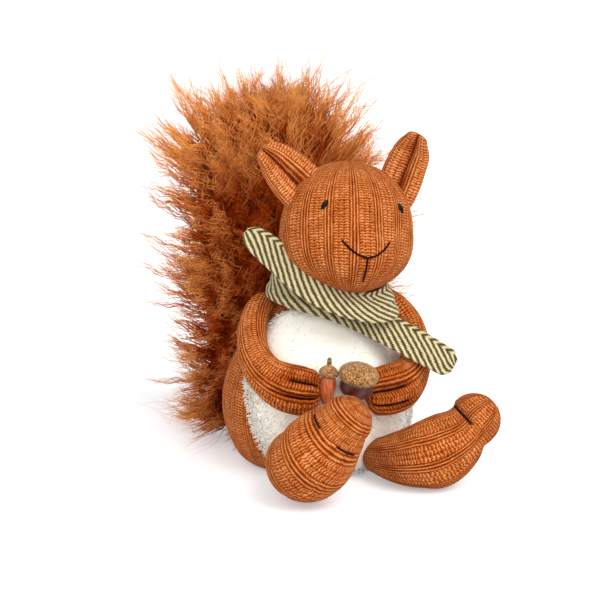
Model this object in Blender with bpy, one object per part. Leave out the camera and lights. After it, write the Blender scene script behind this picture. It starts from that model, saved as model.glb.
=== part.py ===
"""A sitting plush squirrel with a fur tail, a wrapped scarf and two acorns.

Metres, +Z up. The squirrel faces -Y, so its own left is +X and its own right is -X.
The origin is the centre of the flat base of its body.
"""
import math
import random

import bpy
import numpy as np

MM = 0.001
SEED = 11

# Clear air left between pieces that touch, and how deep a knitted rib stands.
GAP = 0.3 * MM
RIB = 0.45 * MM

# Body: a pear, given as (share of the height, share of the radius) from the base up.
BODY_HEIGHT = 123 * MM
BODY_RADIUS = 64.5 * MM
BODY_DEPTH_SHARE = 0.94
BODY_PROFILE = [
    (0.0, 0.64), (0.016, 0.735), (0.06, 0.835), (0.15, 0.925), (0.25, 0.985), (0.36, 1.0),
    (0.455, 0.975), (0.575, 0.895), (0.70, 0.745), (0.81, 0.60), (0.895, 0.475), (0.95, 0.37),
    (0.985, 0.23), (1.0, 0.0),
]
BODY_COLUMNS = 36

# Belly panel: (share of the body height, half the angle it covers in degrees).
PATCH_PILE = 4.0 * MM
PATCH_EDGE_PILE = 1.6 * MM
PATCH_SUNK = 1.2 * MM
PATCH_EDGE = [
    (0.04, 38), (0.10, 48), (0.18, 54), (0.34, 60), (0.50, 67), (0.62, 72), (0.75, 72), (0.86, 55),
]
PATCH_COLUMNS = 14
PATCH_ROWS = 8
PATCH_RAGGED = 0.02
PATCH_TUFT = 0.5 * MM
# The ribs stay this many degrees clear of the panel.
RIB_CLEAR = 8

# Head, measured in its own frame: sideways, forward, up.
# The middle of the head stands this far over the top of the body.
NECK = 41 * MM
HEAD_CENTRE = (11 * MM, -30 * MM, BODY_HEIGHT + NECK)
HEAD_YAW = 4.0
HEAD_ROLL = 5.0
HEAD_PITCH = 4.0
CRANIUM_RADII = (43 * MM, 41 * MM, 41 * MM)
CRANIUM_CENTRE = (0.0, -3 * MM, 4 * MM)
CHEEK_RADII = (43.5 * MM, 40 * MM, 31 * MM)
CHEEK_CENTRE = (0.0, 0.0, -9 * MM)
MUZZLE_RADII = (26 * MM, 28 * MM, 26 * MM)
MUZZLE_CENTRE = (0.0, 18 * MM, -9 * MM)
HEAD_BLEND = 14
HEAD_POLE_BACK = 20.0
HEAD_COLUMNS = 36
HEAD_ROWS = 16

# Eyes and mouth lie at these bearings from the middle of the head: (sideways, up) in degrees.
EYE_BEARING = (46.0, 31.0)
EYE_WIDTH = 4.2 * MM
EYE_HEIGHT = 7.6 * MM
EYE_STAND = 1.0 * MM
EYE_SLANT = 14.0
EYE_ROWS = 5
EYE_COLUMNS = 8
MOUTH_HALF_WIDTH = 24.0
MOUTH_CORNER_UP = 4.0
MOUTH_MIDDLE_UP = -9.0
MOUTH_LINE_END = -32.0
MOUTH_STEPS = 14
THREAD_RADIUS = 0.75 * MM
THREAD_SIDES = 5
THREAD_STAND = 0.3 * THREAD_RADIUS

# Ears: the middle line in the head's frame in mm, sideways, forward, up, and the share of the width.
EAR_WIDTH = 27 * MM
EAR_THICKNESS = 9 * MM
EAR_FOLD_DEPTH = 6.0 * MM
EAR_FOLD_SPREAD = 0.30
EAR_ROWS = 10
EAR_SIDES = 16
EAR_RIGHT_COURSE = [
    (-24, -4, 20, 1.0), (-33, -5, 27, 1.1), (-43, -7, 35, 1.05), (-53, -8, 43, 0.85), (-60, -8, 48, 0.55),
]
EAR_LEFT_COURSE = [
    (32, -4, 20, 0.9), (36, -5, 31, 0.95), (39, -6, 43, 1.0), (41, -5, 55, 0.9), (41, -1, 64, 0.55),
]
# The way the folded side of each ear faces, in the head's frame.
EAR_RIGHT_FRONT = (-0.25, 0.9, 0.35)
EAR_LEFT_FRONT = (-0.6, 0.8, 0.2)

# Arms: (angle round the body, share of its height, stand-off, half width, half thickness), degrees and mm.
ARM_RIGHT = [
    (-100, 0.885, 1, 7.5, 7.5), (-90, 0.86, 7, 9, 8.5), (-80, 0.80, 9.5, 9.5, 9),
    (-70, 0.72, 11, 10, 9.5), (-59, 0.63, 12.5, 11, 9.5), (-47, 0.56, 13.5, 13, 9),
    (-36, 0.52, 13.5, 15.5, 8.5), (-28, 0.505, 13, 16, 8), (-23, 0.50, 12.5, 15, 7.5),
]
ARM_LEFT = [
    (100, 0.885, 1, 7.5, 7.5), (78, 0.86, 10, 9, 8.5), (66, 0.79, 17, 9.5, 9),
    (60, 0.69, 19, 10, 9.5), (51, 0.60, 17, 11.5, 9.5), (41, 0.53, 15.5, 13.5, 9),
    (30, 0.49, 14.5, 16, 8.5), (20, 0.48, 13.5, 16.5, 8), (12.5, 0.48, 12.5, 15.5, 7.5),
]
ARM_SIDES = 16
ARM_RINGS = 15
ARM_FINE_RINGS = 60
ROUND_END_BENDS = (35, 64)
FINGER_GROOVE = 1.8 * MM
FINGER_START = 0.70
FINGER_RUN_IN = 0.12
# The sides of each arm's tube that are dented between the fingers, lower one first.
FINGER_SIDES = {"right": (3, 5), "left": (6, 4)}
FINGER_THREAD_START = 0.78
# Past the last station a thread goes on over the round end, through this many degrees.
FINGER_THREAD_END = 1.1
FINGER_THREAD_BEND = 40
FINGER_THREAD_POINTS = 8

# Legs: the middle line in mm from the centre of the base, and the radius along it as shares of LEG_RADIUS.
LEG_RADIUS = 24 * MM
LEG_RIGHT_COURSE = [
    (-31, -46, 20), (-39, -66, 22), (-43, -84, 24), (-43, -98, 27.5), (-35, -107, 40), (-21, -110, 56.5),
]
LEG_RIGHT_PROFILE = [0.50, 0.62, 0.73, 0.81, 0.90, 0.98, 1.02, 1.05, 1.07, 1.02, 0.88, 0.69]
LEG_LEFT_COURSE = [
    (20, -52, 14), (28, -72, 17), (38, -85, 20.5), (50, -91, 24), (61, -93, 30), (69, -95, 37),
    (75, -95, 45),
]
LEG_LEFT_PROFILE = [0.42, 0.57, 0.70, 0.80, 0.88, 0.96, 0.97, 0.925, 0.845, 0.76, 0.715, 0.72]
LEG_SIDES = 14
LEG_RINGS = 15
# How many rings either side set the way a ring faces: more makes a softer bend.
LEG_BEND_REACH = 6
ARM_BEND_REACH = 2
# Threads that pinch a foot: the leg, the share of its length, and the turns where a thread starts and ends.
TOE_THREADS = {
    "toe_thread_right_outer": ("right", 0.93, 65, 25),
    "toe_thread_right_inner": ("right", 0.93, -20, -70),
    "toe_thread_left": ("left", 0.93, 105, 20),
}
TOE_THREAD_POINTS = 8

# Scarf: a folded strip, wrapped once round the neck and crossed in front. Its middle line from end to
# end as (x, y, height over the top of the body in mm, the way its face looks, share of the width).
SCARF_THICKNESS = 3.6 * MM
SCARF_WIDTH = 22 * MM
SCARF_STATIONS = 44
SCARF_COURSE = [
    (-53, -8, 40, -0.35, -0.90, 0.20, 0.60), (-44, -17, 32, -0.35, -0.88, 0.15, 0.85),
    (-34, -33, 22, -0.35, -0.85, 0.10, 0.95), (-20, -47, 9, -0.25, -0.85, 0.35, 1.0),
    (-1, -55, -2, -0.10, -0.75, 0.60, 1.0), (20, -56, -7, 0.25, -0.80, 0.50, 1.0),
    (38, -42, -5, 0.75, -0.55, 0.35, 1.0), (41, -10, -2, 0.95, 0.10, 0.25, 0.95),
    (26, 17, -1, 0.60, 0.80, 0.20, 0.9), (0, 27, -1, 0.00, 1.00, 0.20, 0.85),
    (-24, 16, 2, -0.70, 0.70, 0.30, 0.8), (-33, -6, 2, -0.90, -0.10, 0.45, 0.8),
    (-26, -26, -1, -0.60, -0.55, 0.60, 0.85), (-8, -39, -6, -0.10, -0.75, 0.65, 0.95),
    (12, -42, -14, 0.12, -0.80, 0.58, 1.0), (30, -48, -23, 0.12, -0.90, 0.40, 1.0),
    (49, -61, -34, 0.12, -0.92, 0.35, 1.0), (70, -73, -47, 0.10, -0.92, 0.35, 0.90),
]
# Across the strip: shares of its half width and half thickness.
SCARF_SECTION = [
    (-1.0, 0.0), (-0.9, -1.0), (0.0, -1.0), (0.9, -1.0), (1.0, 0.0), (0.9, 1.0), (0.0, 1.0), (-0.9, 1.0),
]

# Acorns, held between the hands. A place is (angle round the body, share of its height) of the nut's
# lower tip, and a stand-off below zero lets the nut sink into the pile of the belly panel.
LARGE_NUT_RADIUS = 11.2 * MM
LARGE_NUT_LENGTH = 15 * MM
LARGE_CAP_RADIUS = 13.0 * MM
LARGE_CAP_HEIGHT = 10.5 * MM
LARGE_AXIS = (0.06, -0.28, 0.96)
LARGE_PLACE = (0.5, 0.46)
LARGE_STAND_OFF = -4.5 * MM
SMALL_NUT_RADIUS = 5.4 * MM
SMALL_NUT_LENGTH = 20 * MM
SMALL_CAP_RADIUS = 6.4 * MM
SMALL_CAP_HEIGHT = 8 * MM
SMALL_STEM_RADIUS = 1.6 * MM
SMALL_AXIS = (0.10, 0.05, 0.99)
SMALL_PLACE = (-14.5, 0.43)
SMALL_STAND_OFF = 0.3 * MM
ACORN_SIDES = 14
# (share of the length, share of the radius) of a nut from its tip, and (share of the height, share of
# the radius) of a cap from its rim.
NUT_PROFILE = [
    (0.0, 0.0), (0.03, 0.16), (0.10, 0.42), (0.25, 0.75), (0.45, 0.95),
    (0.65, 1.0), (0.85, 0.97), (1.0, 0.90), (1.0, 0.0),
]
CAP_PROFILE = [(0.0, 0.0), (0.0, 0.86), (0.12, 0.98), (0.35, 1.0), (0.62, 0.86), (0.85, 0.55)]
# (length, radius) of the stem on the cap's top as shares of the stem's radius.
STEM_PROFILE = [(0.0, 1.0), (2.2, 0.85), (3.0, 0.5), (3.1, 0.0)]

# Tail core: (forward-back, height, half width, half depth, sideways) in mm, and the locks on it.
TAIL_CORE = [
    (88, 8, 40, 14, 0), (88, 28, 46, 20, 0), (88, 62, 48, 23, 0), (88, 100, 49, 24, -1),
    (88, 138, 51, 25, -2), (89, 174, 54, 25, -2), (92, 206, 50, 21, -1), (95, 226, 30, 12, 0),
]
TAIL_HEIGHT = TAIL_CORE[-1][1] * MM
TAIL_COLUMNS = 16
TAIL_ROWS = 12
LOCK_LENGTH = 33 * MM
LOCK_WAVE = 5 * MM
LOCK_WAVE_PITCH = 70 * MM
LOCK_STRAY = 0.10
LOCK_LENGTH_RANGE = (0.75, 1.2)
TAIL_MIDDLE = TAIL_CORE[0][0] * MM
# Where a lock bends: the share of its length and the share of its width there.
LOCK_BEND = (0.5, 0.52)
LOCK_CLEARANCE = 2 * MM
FLOOR_CLEARANCE = 0.6 * MM

KNIT = ("knit", (0.47, 0.155, 0.042), 0.95)
PILE = ("cream_pile", (0.80, 0.73, 0.60), 0.98)
FUR = ("tail_fur", (0.36, 0.105, 0.025), 0.85)
TWEED = ("scarf_cloth", (0.33, 0.30, 0.15), 0.95)
THREAD = ("dark_thread", (0.02, 0.012, 0.008), 0.6)
EYE = ("eye_black", (0.012, 0.01, 0.01), 0.25)
SATIN = ("nut_satin", (0.38, 0.10, 0.025), 0.35)
MAHOGANY = ("nut_dark", (0.055, 0.006, 0.003), 0.3)
CAP = ("cap_wool", (0.33, 0.19, 0.085), 0.95)


def clear_scene():
    for thing in list(bpy.data.objects):
        bpy.data.objects.remove(thing, do_unlink=True)


def material(recipe):
    name, colour, roughness = recipe
    made = bpy.data.materials.get(name)
    if made is None:
        made = bpy.data.materials.new(name)
        made.use_nodes = True
        shader = made.node_tree.nodes["Principled BSDF"]
        shader.inputs["Base Color"].default_value = (*colour, 1.0)
        shader.inputs["Roughness"].default_value = roughness
        shader.inputs["Metallic"].default_value = 0.0
    return made


def solid(name, shape, recipe):
    """One object from a (vertices, faces) pair."""
    verts, faces = shape
    mesh = bpy.data.meshes.new(name)
    mesh.from_pydata([tuple(v) for v in verts], [], faces)
    mesh.validate()
    made = bpy.data.objects.new(name, mesh)
    made.data.materials.append(material(recipe))
    bpy.context.scene.collection.objects.link(made)
    return made


def unit(vector):
    vector = np.asarray(vector, float)
    return vector / np.linalg.norm(vector)


def smooth_course(knots, count):
    """Points evenly spread along a smooth curve through the knots."""
    knots = np.array(knots, float)
    padded = np.vstack([2 * knots[0] - knots[1], knots, 2 * knots[-1] - knots[-2]])
    course = []
    for step in range(count):
        place = step * (len(knots) - 1) / (count - 1)
        start = min(int(place), len(knots) - 2)
        t = place - start
        a, b, c, d = padded[start:start + 4]
        bend = (2 * a - 5 * b + 4 * c - d) * t * t + (3 * b - a - 3 * c + d) * t ** 3
        course.append(0.5 * (2 * b + (c - a) * t + bend))
    return np.array(course)


def tangents(points, reach=1):
    """Directions along a course, each taken over a few points either side."""
    last = len(points) - 1
    along = [points[min(i + reach, last)] - points[max(i - reach, 0)] for i in range(last + 1)]
    return np.array([unit(way) for way in along])


def triangles_of(faces):
    """The same skin with each face split into triangles, which are always flat."""
    return [(face[0], face[here], face[here + 1]) for face in faces for here in range(1, len(face) - 1)]


def outward(verts, faces):
    """The skin with its faces turned to point outward."""
    volume = sum(np.dot(verts[a], np.cross(verts[b], verts[c])) for a, b, c in triangles_of(faces))
    if volume < 0:
        faces = [tuple(reversed(face)) for face in faces]
    return verts, faces


def closed_rings(rings, first_tip=None, last_tip=None):
    """A closed skin over rings of equal count, ending in tips or in flat faces."""
    sides = len(rings[0])
    verts = [p for ring in rings for p in ring]
    faces = []
    for row in range(len(rings) - 1):
        for side in range(sides):
            after = (side + 1) % sides
            low, high = row * sides, (row + 1) * sides
            faces.append((low + side, low + after, high + after, high + side))
    last = (len(rings) - 1) * sides
    if first_tip is None:
        faces.append(tuple(reversed(range(sides))))
    else:
        verts.append(first_tip)
        tip = len(verts) - 1
        faces += [(tip, (side + 1) % sides, side) for side in range(sides)]
    if last_tip is None:
        faces.append(tuple(last + side for side in range(sides)))
    else:
        verts.append(last_tip)
        tip = len(verts) - 1
        faces += [(last + side, last + (side + 1) % sides, tip) for side in range(sides)]
    return outward(verts, faces)


def grown(shape, amount):
    """The same skin moved outward by an amount, for cutting a seat into a neighbour."""
    verts, faces = shape
    verts = np.array([tuple(v) for v in verts], float)
    normals = np.zeros_like(verts)
    for face in faces:
        corners = verts[list(face)]
        middle = corners.mean(axis=0)
        for here in range(len(face)):
            after = (here + 1) % len(face)
            cross = np.cross(corners[here] - middle, corners[after] - middle)
            normals[face[here]] += cross
            normals[face[after]] += cross
    lengths = np.linalg.norm(normals, axis=1)
    lengths[lengths == 0] = 1.0
    return verts + amount * normals / lengths[:, None], faces


def join(piece, label, shape):
    """Fuse another shape into a piece."""
    addition = solid("join_" + label, shape, THREAD)
    addition.hide_render = True
    addition.display_type = "WIRE"
    step = piece.modifiers.new("join_" + label, "BOOLEAN")
    step.operation = "UNION"
    step.solver = "EXACT"
    step.object = addition


def seat(piece, neighbours):
    """Cut the neighbours' shapes, grown by the gap, out of a piece."""
    for label, shape in neighbours.items():
        cutter_name = "seat_" + label
        cutter = bpy.data.objects.get(cutter_name)
        if cutter is None:
            cutter = solid(cutter_name, grown(shape, GAP), THREAD)
            cutter.hide_render = True
            cutter.display_type = "WIRE"
        step = piece.modifiers.new(cutter_name, "BOOLEAN")
        step.operation = "DIFFERENCE"
        step.solver = "EXACT"
        step.object = cutter


# The body

def body_radius(share):
    """Radius of the body at a share of its height."""
    heights = [row[0] for row in BODY_PROFILE]
    return BODY_RADIUS * float(np.interp(share, heights, [row[1] for row in BODY_PROFILE]))


def body_point(angle, share, out=0.0):
    """A point over the body: angle in degrees from the front, towards its left."""
    turn = math.radians(angle)
    radius = body_radius(share)
    step = 0.02
    rise = 2 * step * BODY_HEIGHT
    slope = (body_radius(min(share + step, 1.0)) - body_radius(max(share - step, 0.0))) / rise
    lift = -slope / math.hypot(1.0, slope)
    flat = 1.0 / math.hypot(1.0, slope)
    reach = radius + out * flat
    x = reach * math.sin(turn)
    y = -(radius * BODY_DEPTH_SHARE + out * flat) * math.cos(turn)
    return np.array([x, y, share * BODY_HEIGHT + out * lift])


def patch_half_angle(share):
    shares = [row[0] for row in PATCH_EDGE]
    return float(np.interp(share, shares, [row[1] for row in PATCH_EDGE]))


def body_shape():
    """Rings of the body, with knitted ribs outside the belly panel."""
    heights = [row[0] for row in BODY_PROFILE[:-1]]
    rows = [heights[0]]
    for low, high in zip(heights[:-1], heights[1:]):
        pieces = 2 if high - low > 0.12 else 1
        rows += [low + (high - low) * (n + 1) / pieces for n in range(pieces)]
    rings = []
    for share in rows:
        ring = []
        for column in range(BODY_COLUMNS):
            angle = 360.0 * column / BODY_COLUMNS
            from_front = abs((angle + 180) % 360 - 180)
            plain = share in (heights[0], heights[-1]) or from_front < patch_half_angle(share) + RIB_CLEAR
            rib = 0.0 if plain else RIB * (1 if column % 2 else -1)
            ring.append(body_point(angle, share, rib))
        rings.append(ring)
    rings[0] = [np.array([p[0], p[1], 0.0]) for p in rings[0]]
    top = np.array([0.0, 0.0, BODY_HEIGHT])
    return closed_rings(rings, last_tip=top)


def patch_shape():
    """The cream panel: a shell over the belly with a tufted outer side."""
    rng = random.Random(SEED)
    first, last = PATCH_EDGE[0][0], PATCH_EDGE[-1][0]
    outer, inner = [], []
    for row in range(PATCH_ROWS + 1):
        share = first + (last - first) * row / PATCH_ROWS
        half = patch_half_angle(share)
        for column in range(PATCH_COLUMNS + 1):
            place = 2.0 * column / PATCH_COLUMNS - 1.0
            edge = column in (0, PATCH_COLUMNS) or row in (0, PATCH_ROWS)
            ragged = rng.uniform(-PATCH_RAGGED, PATCH_RAGGED) if edge else 0.0
            angle = half * place * (1 + ragged)
            pile = PATCH_EDGE_PILE if edge else PATCH_PILE + rng.uniform(-PATCH_TUFT, PATCH_TUFT)
            inner.append(body_point(angle, share, -PATCH_SUNK))
            outer.append(body_point(angle, share, GAP + pile))
    return two_sided(inner, outer, PATCH_ROWS, PATCH_COLUMNS)


def two_sided(inner, outer, rows, columns):
    """A closed sheet from two matching grids of points."""
    verts = list(outer) + list(inner)
    back = len(outer)
    wide = columns + 1
    faces = []
    for row in range(rows):
        for column in range(columns):
            a = row * wide + column
            b, c, d = a + 1, a + wide + 1, a + wide
            faces.append((a, b, c, d))
            faces.append((back + d, back + c, back + b, back + a))
    rim = [column for column in range(wide)]
    rim += [row * wide + columns for row in range(1, rows + 1)]
    rim += [rows * wide + column for column in range(columns - 1, -1, -1)]
    rim += [row * wide for row in range(rows - 1, 0, -1)]
    for here, after in zip(rim, rim[1:] + rim[:1]):
        faces.append((after, here, back + here, back + after))
    return outward(verts, faces)


# The head

def head_axes():
    """The head's own sideways, forward and up directions: tilted, nodding and turned to its right."""
    roll, pitch, yaw = math.radians(HEAD_ROLL), math.radians(HEAD_PITCH), math.radians(HEAD_YAW)
    level_side = np.array([math.cos(roll), 0.0, -math.sin(roll)])
    level_up = np.array([math.sin(roll), 0.0, math.cos(roll)])
    ahead = np.array([0.0, -1.0, 0.0])
    nodding = math.cos(pitch) * ahead - math.sin(pitch) * level_up
    up = math.cos(pitch) * level_up + math.sin(pitch) * ahead
    forward = math.cos(yaw) * nodding - math.sin(yaw) * level_side
    side = math.cos(yaw) * level_side + math.sin(yaw) * nodding
    return side, forward, up


def ellipsoid_reach(way, radii, centre):
    """How far a ray from the head's middle travels before it leaves an ellipsoid."""
    radii = np.array(radii)
    way = np.array(way) / radii
    start = -np.array(centre) / radii
    a, b, c = way @ way, way @ start, start @ start - 1
    inside = b * b - a * c
    if inside < 0:
        return 0.0
    return max(0.0, (-b + math.sqrt(inside)) / a)


def head_reach(way):
    reaches = [
        ellipsoid_reach(way, CRANIUM_RADII, CRANIUM_CENTRE),
        ellipsoid_reach(way, CHEEK_RADII, CHEEK_CENTRE),
        ellipsoid_reach(way, MUZZLE_RADII, MUZZLE_CENTRE),
    ]
    longest = max(reaches)
    return longest * sum((reach / longest) ** HEAD_BLEND for reach in reaches) ** (1.0 / HEAD_BLEND)


def head_place(local):
    side, forward, up = head_axes()
    return np.array(HEAD_CENTRE) + local[0] * side + local[1] * forward + local[2] * up


def bearing(sideways, up):
    """A direction in the head's frame from two angles in degrees."""
    turn, lift = math.radians(sideways), math.radians(up)
    return np.array([math.sin(turn) * math.cos(lift), math.cos(turn) * math.cos(lift), math.sin(lift)])


def head_point(sideways, up, out=0.0):
    way = bearing(sideways, up)
    return head_place(way * (head_reach(way) + out))


def head_shape():
    """Rows of stitches that run from the crown, down the face, to the throat."""
    back = math.radians(HEAD_POLE_BACK)
    pole = np.array([0.0, -math.sin(back), math.cos(back)])
    across = np.array([1.0, 0.0, 0.0])
    face = np.cross(pole, across)
    rings = []
    for row in range(1, HEAD_ROWS):
        down = math.pi * (1 - row / HEAD_ROWS)
        ring = []
        for column in range(HEAD_COLUMNS):
            turn = 2 * math.pi * column / HEAD_COLUMNS
            level = math.cos(turn) * across + math.sin(turn) * face
            way = math.cos(down) * pole + math.sin(down) * level
            rib = RIB * math.sin(down) * (1 if column % 2 else -1)
            ring.append(head_place(way * (head_reach(way) + rib)))
        rings.append(ring)
    throat = head_place(-pole * head_reach(-pole))
    crown = head_place(pole * head_reach(pole))
    return closed_rings(rings, first_tip=throat, last_tip=crown)


def thread_shape(points):
    """A sewn thread that follows the points, tapering at both ends."""
    points = np.array(points)
    along = tangents(points)
    rings = []
    for index in range(1, len(points) - 1):
        first = unit(np.cross(along[index], (0.31, 0.22, 0.93)))
        second = np.cross(along[index], first)
        ring = []
        for side in range(THREAD_SIDES):
            turn = 2 * math.pi * side / THREAD_SIDES
            ring.append(points[index] + THREAD_RADIUS * (math.cos(turn) * first + math.sin(turn) * second))
        rings.append(ring)
    return closed_rings(rings, first_tip=points[0], last_tip=points[-1])


def eye_shape(side):
    """An almond that stands a little out of the face."""
    side_way, forward, up = head_axes()
    middle = head_point(side * EYE_BEARING[0], EYE_BEARING[1])
    out = unit(middle - np.array(HEAD_CENTRE))
    slant = math.radians(EYE_SLANT) * side
    tall = unit(up * math.cos(slant) - side_way * math.sin(slant))
    tall = unit(tall - out * (tall @ out))
    wide = np.cross(tall, out)
    rings = []
    for row in range(1, EYE_ROWS):
        lift = math.pi * (row / EYE_ROWS - 0.5)
        ring = []
        for column in range(EYE_COLUMNS):
            turn = 2 * math.pi * column / EYE_COLUMNS
            bulge = wide * math.cos(turn) * EYE_WIDTH / 2 + out * math.sin(turn) * EYE_STAND * 2
            ring.append(middle - bulge * math.cos(lift) ** 1.3 + tall * math.sin(lift) * EYE_HEIGHT / 2)
        rings.append(ring)
    reach = tall * EYE_HEIGHT / 2
    return closed_rings(rings, first_tip=middle - reach, last_tip=middle + reach)


def mouth_points():
    """The curve of the smile."""
    points = []
    for step in range(MOUTH_STEPS + 1):
        place = 2 * step / MOUTH_STEPS - 1
        up = MOUTH_MIDDLE_UP + (MOUTH_CORNER_UP - MOUTH_MIDDLE_UP) * abs(place) ** 1.7
        points.append(head_point(MOUTH_HALF_WIDTH * place, up, THREAD_STAND))
    return points


def mouth_line_points():
    """The upright line below the smile."""
    points = []
    steps = MOUTH_STEPS // 2 - 1
    for step in range(steps + 1):
        up = MOUTH_MIDDLE_UP + 1.0 + (MOUTH_LINE_END - MOUTH_MIDDLE_UP) * step / steps
        points.append(head_point(0.0, up, THREAD_STAND))
    return points


# The ears

def ear_shape(course, front):
    """A leaf folded along its middle: a fat blade with a deep crease down its front."""
    stations = smooth_course(course, EAR_ROWS)
    spine = np.array([head_place(row[:3] * MM) for row in stations])
    along = tangents(spine)
    head_side, head_forward, head_up = head_axes()
    facing = front[0] * head_side + front[1] * head_forward + front[2] * head_up
    rings = []
    for index in range(EAR_ROWS):
        share = stations[index][3]
        wide = unit(np.cross(along[index], facing))
        out = unit(np.cross(wide, along[index]))
        half = EAR_WIDTH / 2 * share
        thick = EAR_THICKNESS / 2 * min(1.0, share * 1.2)
        ring = []
        for side in range(EAR_SIDES):
            turn = 2 * math.pi * side / EAR_SIDES
            x, y = math.cos(turn), math.sin(turn)
            crease = EAR_FOLD_DEPTH * share * math.exp(-(x / EAR_FOLD_SPREAD) ** 2)
            lift = thick * y - (crease if y > 0 else 0.0)
            ring.append(spine[index] + wide * half * x + out * lift)
        rings.append(ring)
    return closed_rings(rings)


# The arms and legs

def tube_shape(spine, ups, widths, thicks, sides, reach, groove):
    """A stuffed tube. ups point away from what it lies on, and groove raises or dents its skin."""
    along = tangents(spine, reach)
    rings = []
    for index in range(len(spine)):
        wide = unit(np.cross(along[index], ups[index]))
        out = np.cross(wide, along[index])
        ring = []
        for side in range(sides):
            turn = 2 * math.pi * side / sides
            x, y = math.cos(turn), math.sin(turn)
            dent = groove(index / (len(spine) - 1), side)
            offset = wide * x * (widths[index] + dent) + out * y * (thicks[index] + dent)
            ring.append(spine[index] + offset)
        rings.append(ring)
    rings += rounded_end(rings[-1], spine[-1], along[-1] * thicks[-1])
    tip = spine[-1] + along[-1] * thicks[-1]
    return closed_rings(rings, first_tip=spine[0] - along[0] * widths[0] * 0.4, last_tip=tip)


def rounded_end(ring, centre, reach):
    """Two smaller rings beyond the last one, for a round end."""
    ends = []
    for bend in ROUND_END_BENDS:
        shrink, shift = math.cos(math.radians(bend)), math.sin(math.radians(bend))
        ends.append([centre + (point - centre) * shrink + reach * shift for point in ring])
    return ends


def arm_frame(stations, count):
    """Spine, outward directions, half widths and half thicknesses of an arm."""
    course = smooth_course(stations, count)
    spine = np.array([body_point(a, share, off * MM) for a, share, off, w, t in course])
    outs = np.array([unit(body_point(row[0], row[1], MM) - body_point(row[0], row[1])) for row in course])
    return spine, outs, course[:, 3] * MM, course[:, 4] * MM


def arm_groove(limb):
    """Ribs along the arm, and two dents between the fingers of the hand."""
    def groove(share, side):
        if share > FINGER_START and side in FINGER_SIDES[limb]:
            return -finger_dent(share)
        return RIB * (1 if side % 2 else -1)
    return groove


def finger_dent(share):
    """How deep the groove between two fingers is at a share of the arm's length."""
    return FINGER_GROOVE * min(1.0, max(0.0, (share - FINGER_START) / FINGER_RUN_IN))


def arm_shape(limb, stations):
    spine, outs, widths, thicks = arm_frame(stations, ARM_RINGS)
    return tube_shape(spine, outs, widths, thicks, ARM_SIDES, ARM_BEND_REACH, arm_groove(limb))


def finger_points(stations, side):
    """A dark line in the groove between two fingers, along one side of the arm's tube."""
    spine, outs, widths, thicks = arm_frame(stations, ARM_FINE_RINGS)
    along = tangents(spine)
    turn = 2 * math.pi * side / ARM_SIDES
    points = []
    for step in range(FINGER_THREAD_POINTS):
        run = FINGER_THREAD_END - FINGER_THREAD_START
        share = FINGER_THREAD_START + run * step / (FINGER_THREAD_POINTS - 1)
        past = max(0.0, share - 1.0) / (FINGER_THREAD_END - 1.0)
        bend = math.radians(FINGER_THREAD_BEND * past)
        index = int(round(min(share, 1.0) * (ARM_FINE_RINGS - 1)))
        wide = unit(np.cross(along[index], outs[index]))
        out = np.cross(wide, along[index])
        dent = finger_dent(share)
        sideways = wide * math.cos(turn) * (widths[index] - dent)
        outward_reach = out * (math.sin(turn) * (thicks[index] - dent) + THREAD_STAND)
        onward = along[index] * (thicks[index] + THREAD_STAND) * math.sin(bend)
        points.append(spine[index] + (sideways + outward_reach) * math.cos(bend) + onward)
    return points


def leg_frame(course, profile):
    """Middle line, directions and radii of a leg."""
    spine = smooth_course(course, LEG_RINGS) * MM
    radii = smooth_course([[share] for share in profile], LEG_RINGS)[:, 0] * LEG_RADIUS
    return spine, tangents(spine, LEG_BEND_REACH), radii


def leg_bands(share, side):
    """Knitted bands that go round the leg."""
    return RIB * (1 if int(round(share * (LEG_RINGS - 1))) % 2 else -1)


def leg_shape(course, profile):
    spine, along, radii = leg_frame(course, profile)
    ups = [np.array([0.0, 0.0, 1.0])] * len(spine)
    verts, faces = tube_shape(spine, ups, radii, radii, LEG_SIDES, LEG_BEND_REACH, leg_bands)
    return verts, triangles_of(faces)


def toe_points(course, profile, share, first_turn, last_turn):
    """A thread laid part of the way round a leg."""
    spine, along, radii = leg_frame(course, profile)
    index = int(round(share * (LEG_RINGS - 1)))
    wide = unit(np.cross(along[index], (0.0, 0.0, 1.0)))
    out = np.cross(wide, along[index])
    points = []
    for step in range(TOE_THREAD_POINTS):
        turn = math.radians(first_turn + (last_turn - first_turn) * step / (TOE_THREAD_POINTS - 1))
        reach = wide * math.cos(turn) + out * math.sin(turn)
        points.append(spine[index] + (radii[index] + THREAD_STAND) * reach)
    return points


# The scarf

def scarf_course():
    """Middle line, outward directions and widths of the strip, from end to end."""
    course = smooth_course(SCARF_COURSE, SCARF_STATIONS)
    spine = course[:, :3] * MM + np.array([0.0, 0.0, BODY_HEIGHT])
    return spine, course[:, 3:6], course[:, 6] * SCARF_WIDTH


def scarf_shape():
    """The strip as a flat tube with rounded edges."""
    spine, outs, widths = scarf_course()
    along = tangents(spine)
    rings = []
    for index in range(len(spine)):
        wide = unit(np.cross(along[index], outs[index]))
        out = np.cross(wide, along[index])
        ring = []
        for x, y in SCARF_SECTION:
            ring.append(spine[index] + wide * x * widths[index] / 2 + out * y * SCARF_THICKNESS / 2)
        rings.append(ring)
    return closed_rings(rings)


# The acorns

def turned_shape(base, axis, profile):
    """A shape turned about an axis, from (distance along, radius) pairs."""
    axis = unit(axis)
    first = unit(np.cross(axis, (0.0, 1.0, 0.2)))
    second = np.cross(axis, first)
    rings = []
    for along, radius in profile[1:-1]:
        ring = []
        for side in range(ACORN_SIDES):
            turn = 2 * math.pi * side / ACORN_SIDES
            ring.append(base + axis * along + radius * (math.cos(turn) * first + math.sin(turn) * second))
        rings.append(ring)
    return closed_rings(rings, first_tip=base + axis * profile[0][0], last_tip=base + axis * profile[-1][0])


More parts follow.
